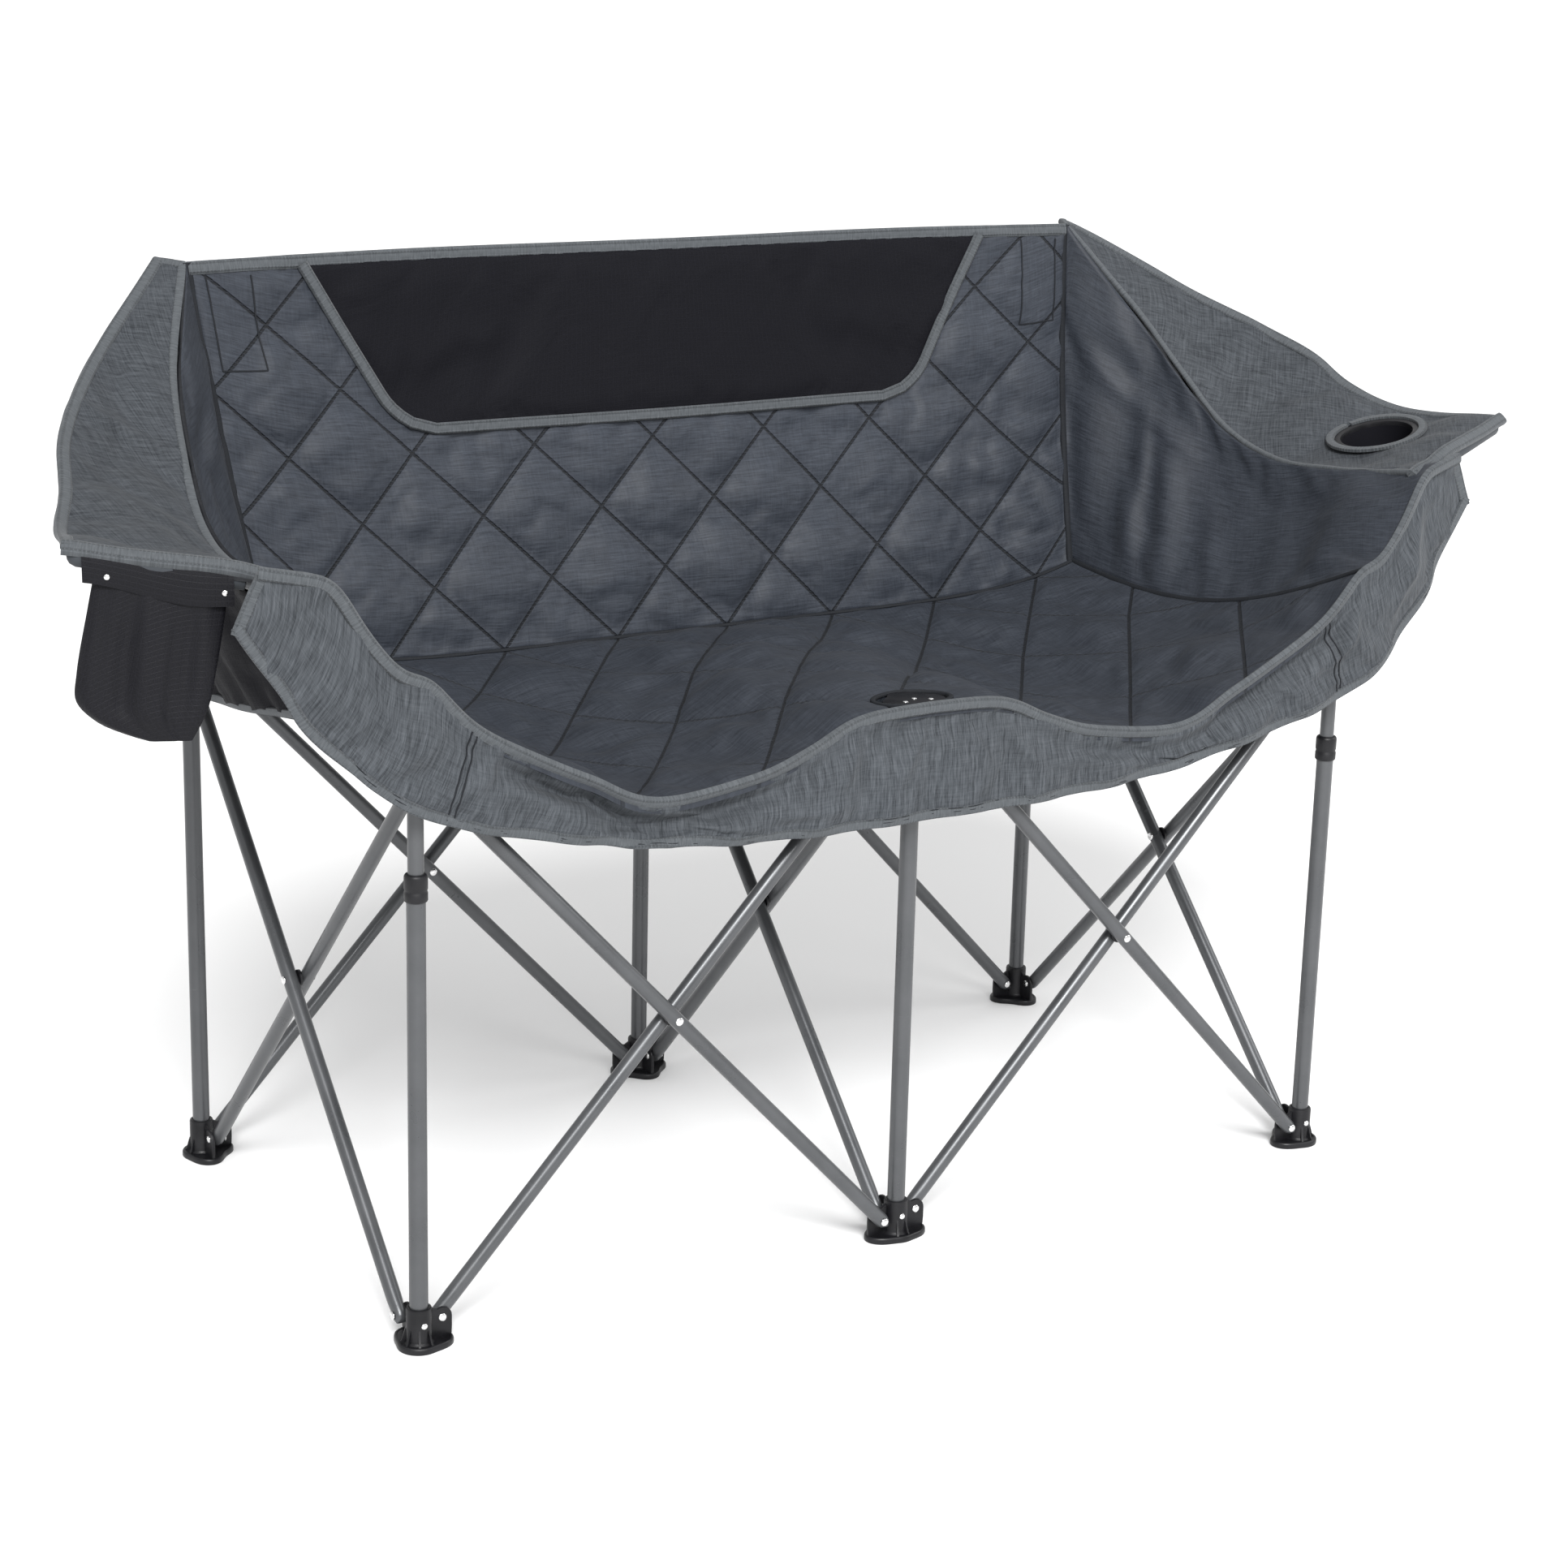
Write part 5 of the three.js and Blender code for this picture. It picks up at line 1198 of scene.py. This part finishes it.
# Valance across the front
def valance():
    """The skirt across the front: it drops behind its top binding and bulges above its hem."""
    def point(s, t):
        u = 2 * s - 1
        r = abs(u)
        p = valance_point(u, t) - vec(0, 1.0, 0)
        wave = 7 * sin(2 * pi * (r - 0.8) * 11) * smoothstep(r, 0.82, 0.9) * (1 - t)
        return p + vec(copysign(1, u) * wave, 0, 0.5 * wave)

    nu, nt = 300, 34
    grid = grid_of(nu, nt, point)
    s, t = np.linspace(0, 1, nu), np.linspace(0, 1, nt)
    tall = np.linalg.norm(grid[:, -1] - grid[:, 0], axis=1)
    below = (1 - t)[None, :] * tall[:, None]
    hollows = ((0.23, 0.065, 1), (0.34, 0.05, 0.6), (0.66, 0.06, 0.25), (0.8, 0.08, 0.6))
    slit = 0.12 + sum(deep * np.exp(-((s - at) / wide) ** 2) for at, wide, deep in hollows)
    drop = 25 * slit[:, None] * np.exp(-((below - 21) / 12) ** 2)
    lines = [((0.2, 0.9), (0.27, 0.35), 11, 7), ((0.3, 0.5), (0.37, 0.2), 9, 6),
             ((0.36, 0.35), (0.44, 0.22), 8, 5), ((0.5, 0.95), (0.47, 0.35), 8, 6),
             ((0.52, 0.95), (0.55, 0.4), 7, 5), ((0.55, 0.9), (0.6, 0.3), 8, 4),
             ((0.62, 0.6), (0.7, 0.3), 10, 5), ((0.7, 0.4), (0.78, 0.25), 9, 6),
             ((0.8, 0.9), (0.84, 0.2), 9, 7), ((0.87, 0.8), (0.9, 0.1), 10, 8),
             ((0.93, 0.9), (0.95, 0.1), 10, 7), ((0.12, 0.8), (0.08, 0.1), 12, 6),
             ((0.16, 0.95), (0.14, 0.3), 8, 5), ((0.44, 0.9), (0.42, 0.4), 9, 4),
             ((0.9, 1.0), (0.86, 0.4), 9, 8), ((0.955, 1.0), (0.92, 0.2), 12, 9),
             ((0.25, 0.95), (0.33, 0.55), 8, 5), ((0.05, 0.9), (0.1, 0.4), 10, 5)]
    push = ridges((nu, nt), (1500, 110), lines) * np.sin(pi * np.clip(t, 0.02, 0.98))[None, :]
    pins = border(grid.shape)
    grid[:, :, 1] += np.where(pins, 0, drop - push)
    face = settle(grid, pins, pressure=0.35, slack=0.02, cap=6)
    b = Build()
    shell(b, face, face - normals_of(face) * 1.6, slots=(0, 1))
    obj = b.make("valance_cloth", [HEATHER, LINING], 0)
    dress(obj, "front_middle_hub", "heather_fabric", ["front_valance"], "x")
    width = float(lengths(grid)[..., 0].max())
    b = Build()
    edge_tape(b, face, "v0", 1, 1.6, 5.5, 5.0, 1.3)
    edge_tape(b, grid, "v1", 1, 1.6, 6.0, 2.0, 3.4)
    for side in ("u0", "u1"):
        edge_tape(b, face, side, 1, 1.6, 6.0, 5.0, 1.3)
    sewn(b, "valance_tape", TAPE, "front_middle_hub", "x")
    # Darts and hem stitching in the near-black seam cloth: partly dark thread, partly painted shade in the
    # stitched grooves.
    b = Build()
    for top_end, low_end in ((0.137, 0.128), (0.141, 0.132), (0.863, 0.872), (0.859, 0.868)):
        stitched(b, face, ((top_end, 0.94), (low_end, 0.06)), 0.8)
    for row in (0.045, 0.075):
        stitched(b, face, ((0.02, row), (0.98, row)), 0.5, 260)
    sewn(b, "valance_stitching", SEAM_SHADE, "front_middle_hub", "x", "heather_fabric")


# Arm tubes
def arm_tube(side, sign):
    """The tube that rises from the front corner post, bends outward and ends in the arm's front hem."""
    bend = [(COLUMN, -HALF_ROW, 625), (615, -282, 702), (674, -282, 764), hem_at(0.28)]
    path = [(COLUMN, -HALF_ROW, 250), (COLUMN, -HALF_ROW, 600)]
    path += [catmull(bend, k / 28) for k in range(29)] + [hem_at(0.93)]
    path = np.array(path) * vec(sign, 1, 1)
    along = np.concatenate([path[1:2] - path[:1], path[2:] - path[:-2], path[-1:] - path[-2:-1]])
    b = Build()
    skin(b, [ring(p, way, (0, 1, 0), SLIDE_R, SLIDE_R, 28) for p, way in zip(path, along)])
    tube = b.make(f"arm_tube_{side}_tube", [PAINT], 60)
    dress(tube, f"front_{side}_hub", "painted_tube", [f"arm_tube_{side}"])


# Cup holder: a moulded ring over a soft pouch
def cup_holder():
    profile = [(42.0, -8.0), (42.0, -3.5), (42.6, -0.9), (44.6, 0.0), (48.6, 0.0), (50.6, -0.9),
               (51.0, -3.5), (50.4, -7.6), (48.0, -8.0)]
    b = Build()
    rings = [ring(cup_centre + cup_axis * h, cup_axis, (0, 1, 0), r, r, 64) for r, h in profile]
    skin(b, rings + [rings[0]], closed=False)
    sewn(b, "cup_ring", PLASTIC, "rear_right_leg", 1, "black_fabric")
    loop = ring(cup_centre + cup_axis * 0.3, cup_axis, (0, 1, 0), 54.5, 54.5, 64)
    b = Build()
    tape(b, loop, [cup_axis] * 64, 5.0, 2.6, closed=True)
    sewn(b, "cup_binding", TAPE, "rear_right_leg", 1)

    def wall(depth, radius):
        """One round of the pouch, which narrows and waves a little towards its foot."""
        angle = np.arange(64) * 2 * pi / 64
        share = depth / CUP_DEPTH
        r = (radius - 3.0 * share) * (1 + 0.012 * np.sin(5 * angle + depth * 0.045) * share)
        a = vec(0, 1.0, 0)
        c = np.cross(cup_axis, a)
        return cup_centre - cup_axis * depth + np.outer(r * np.cos(angle), a) + np.outer(r * np.sin(angle), c)

    depths = np.linspace(6, CUP_DEPTH, 14)
    outer = [wall(d, 43.6) for d in depths] + [wall(113.6, 38.0)]
    inner = [wall(d, 42.0) for d in depths[::-1]]
    b = Build()
    skin(b, outer[::-1] + inner[::-1])
    dress(b.make("cup_pouch", [BLACK], 50), "rear_right_leg", "black_fabric", ["cup_holder"], 1)


# Side pocket: a soft pouch under the left arm's front hem, with a band across its top
HEM_START = hem_at(0)
HEM_ALONG = unit((ARM_FO - ARM_FI) * vec(1, 1, 0))
HEM_FORWARD = np.cross(HEM_ALONG, (0, 0, 1))
POCKET_IN, POCKET_OUT, POCKET_FOOT = 746.0, 874.0, 640.0
POCKET_LEFT = [(0, 0.22), (0.03, 0.2), (0.2, 0.11), (0.5, 0.04), (0.84, -0.02), (1, -0.04)]
POCKET_RIGHT = [(0, 0.5), (0.04, 0.64), (0.12, 0.84), (0.24, 0.97), (0.4, 0.96), (0.75, 0.88), (1, 0.82)]


def pocket_place(x_share, z_share, depth):
    """A place on the pocket in shares of its width and height, and a depth in front of the hem."""
    x = lerp(POCKET_IN, POCKET_OUT, x_share)
    top = hem_at((x - ARM_FI[0]) / (ARM_FO[0] - ARM_FI[0]))[2] - 10.9
    p = HEM_START + HEM_ALONG * (x - HEM_START[0]) / HEM_ALONG[0] + HEM_FORWARD * depth
    return vec(-p[0], p[1], lerp(POCKET_FOOT, top, z_share))


def side_pocket():
    """The pouch, and the band across its top with two rivets."""
    left, right = reading(POCKET_LEFT), reading(POCKET_RIGHT)

    def cloth(depth, bulge):
        def point(s, t):
            share = lerp(left(t), right(t), s)
            round_off = (1 - abs(2 * s - 1) ** 6) * min(1, 6 * t + 0.2)
            swing = s + 0.06 * sin(3.1 * t + 0.6) * (1 - t)
            folds = 3.6 * cos(2 * pi * 2.1 * swing) * sin(pi * min(1, t * 1.05 + 0.05))
            folds += 1.6 * cos(2 * pi * (4.7 * swing + 0.3)) * t * (1.1 - t) * 3
            hollow = -4.0 * exp(-((swing - 0.36) / 0.05) ** 2) * (1 - 0.4 * t)
            bulge_here = bulge + (folds + hollow) * abs(bulge) / 7
            return pocket_place(share, t, depth + round_off * bulge_here)
        return grid_of(48, 44, point)

    b = Build()
    shell(b, cloth(0.5, 7.0), cloth(-12.0, -4.0), slots=(0, 0))

    def band_point(s, t):
        low = 0.9 - 0.03 * sin(5 * s)
        depth = 9.0 + 3.0 * sin(pi * t * 0.8) + sin(9 * s)
        return pocket_place(lerp(-0.08, 0.9, s), lerp(low, 1.1, t), depth)

    band = grid_of(40, 8, band_point)
    shell(b, band, band + np.append(HEM_FORWARD[:2] * np.array([1, -1]), 0) * 2.0, slots=(0, 0))
    out = HEM_FORWARD * vec(-1, 1, 1)
    for share in (-0.02, 0.74):
        rivet_head(b, pocket_place(share, 0.985, 13.0), out, 2.8, 1.2, 1)
    obj = b.make("side_pocket_pouch", [POUCH, METAL], 60)
    dress(obj, "rear_left_leg", "black_fabric", ["side_pocket"], -1)


seat_cover()
hub_opening_rim()
back_cover()
head_panel()
post_sleeves()
for side, sign in SIDES:
    side_cover(side, sign)
    arm_cover(side, sign)
    outer_side(side, sign)
    arm_tube(side, sign)
valance()
cup_holder()
side_pocket()

# Ground and light
FLOOR_HALF = 45000
b = Build()
b.add([(-FLOOR_HALF, -FLOOR_HALF, 0), (FLOOR_HALF, -FLOOR_HALF, 0), (FLOOR_HALF, FLOOR_HALF, 0),
       (-FLOOR_HALF, FLOOR_HALF, 0)], [(0, 1, 2, 3)])
white = Shade("studio_floor").surface({"Base Color": (0.92, 0.92, 0.92, 1), "Roughness": 0.7})
b.make("studio_floor", [white], 0)


def lamp(name, kind, at, aim, power, size):
    data = bpy.data.lights.new(name, kind)
    data.energy = power
    if kind == "SUN":
        data.angle = radians(size)
    else:
        data.shape, data.size = "DISK", size
    obj = bpy.data.objects.new(name, data)
    obj.location = at
    obj.rotation_euler = (Vector(aim) - Vector(at)).to_track_quat("-Z", "Y").to_euler()
    scene.collection.objects.link(obj)


lamp("key", "SUN", (-1.7, -3.2, 3.7), (0, 0, 0.6), 3.2, 20)
lamp("front", "AREA", (-0.6, -3.6, 2.6), (0, 0, 0.6), 60, 1.4)
lamp("side", "AREA", (3.4, -1.6, 2.2), (0, 0, 0.6), 40, 2.0)
world = bpy.data.worlds.new("studio")
scene.world = world
world.use_nodes = True
background = world.node_tree.nodes["Background"]
background.inputs[0].default_value = (1, 1, 1, 1)
background.inputs[1].default_value = 0.74
scene.view_settings.view_transform = "Standard"
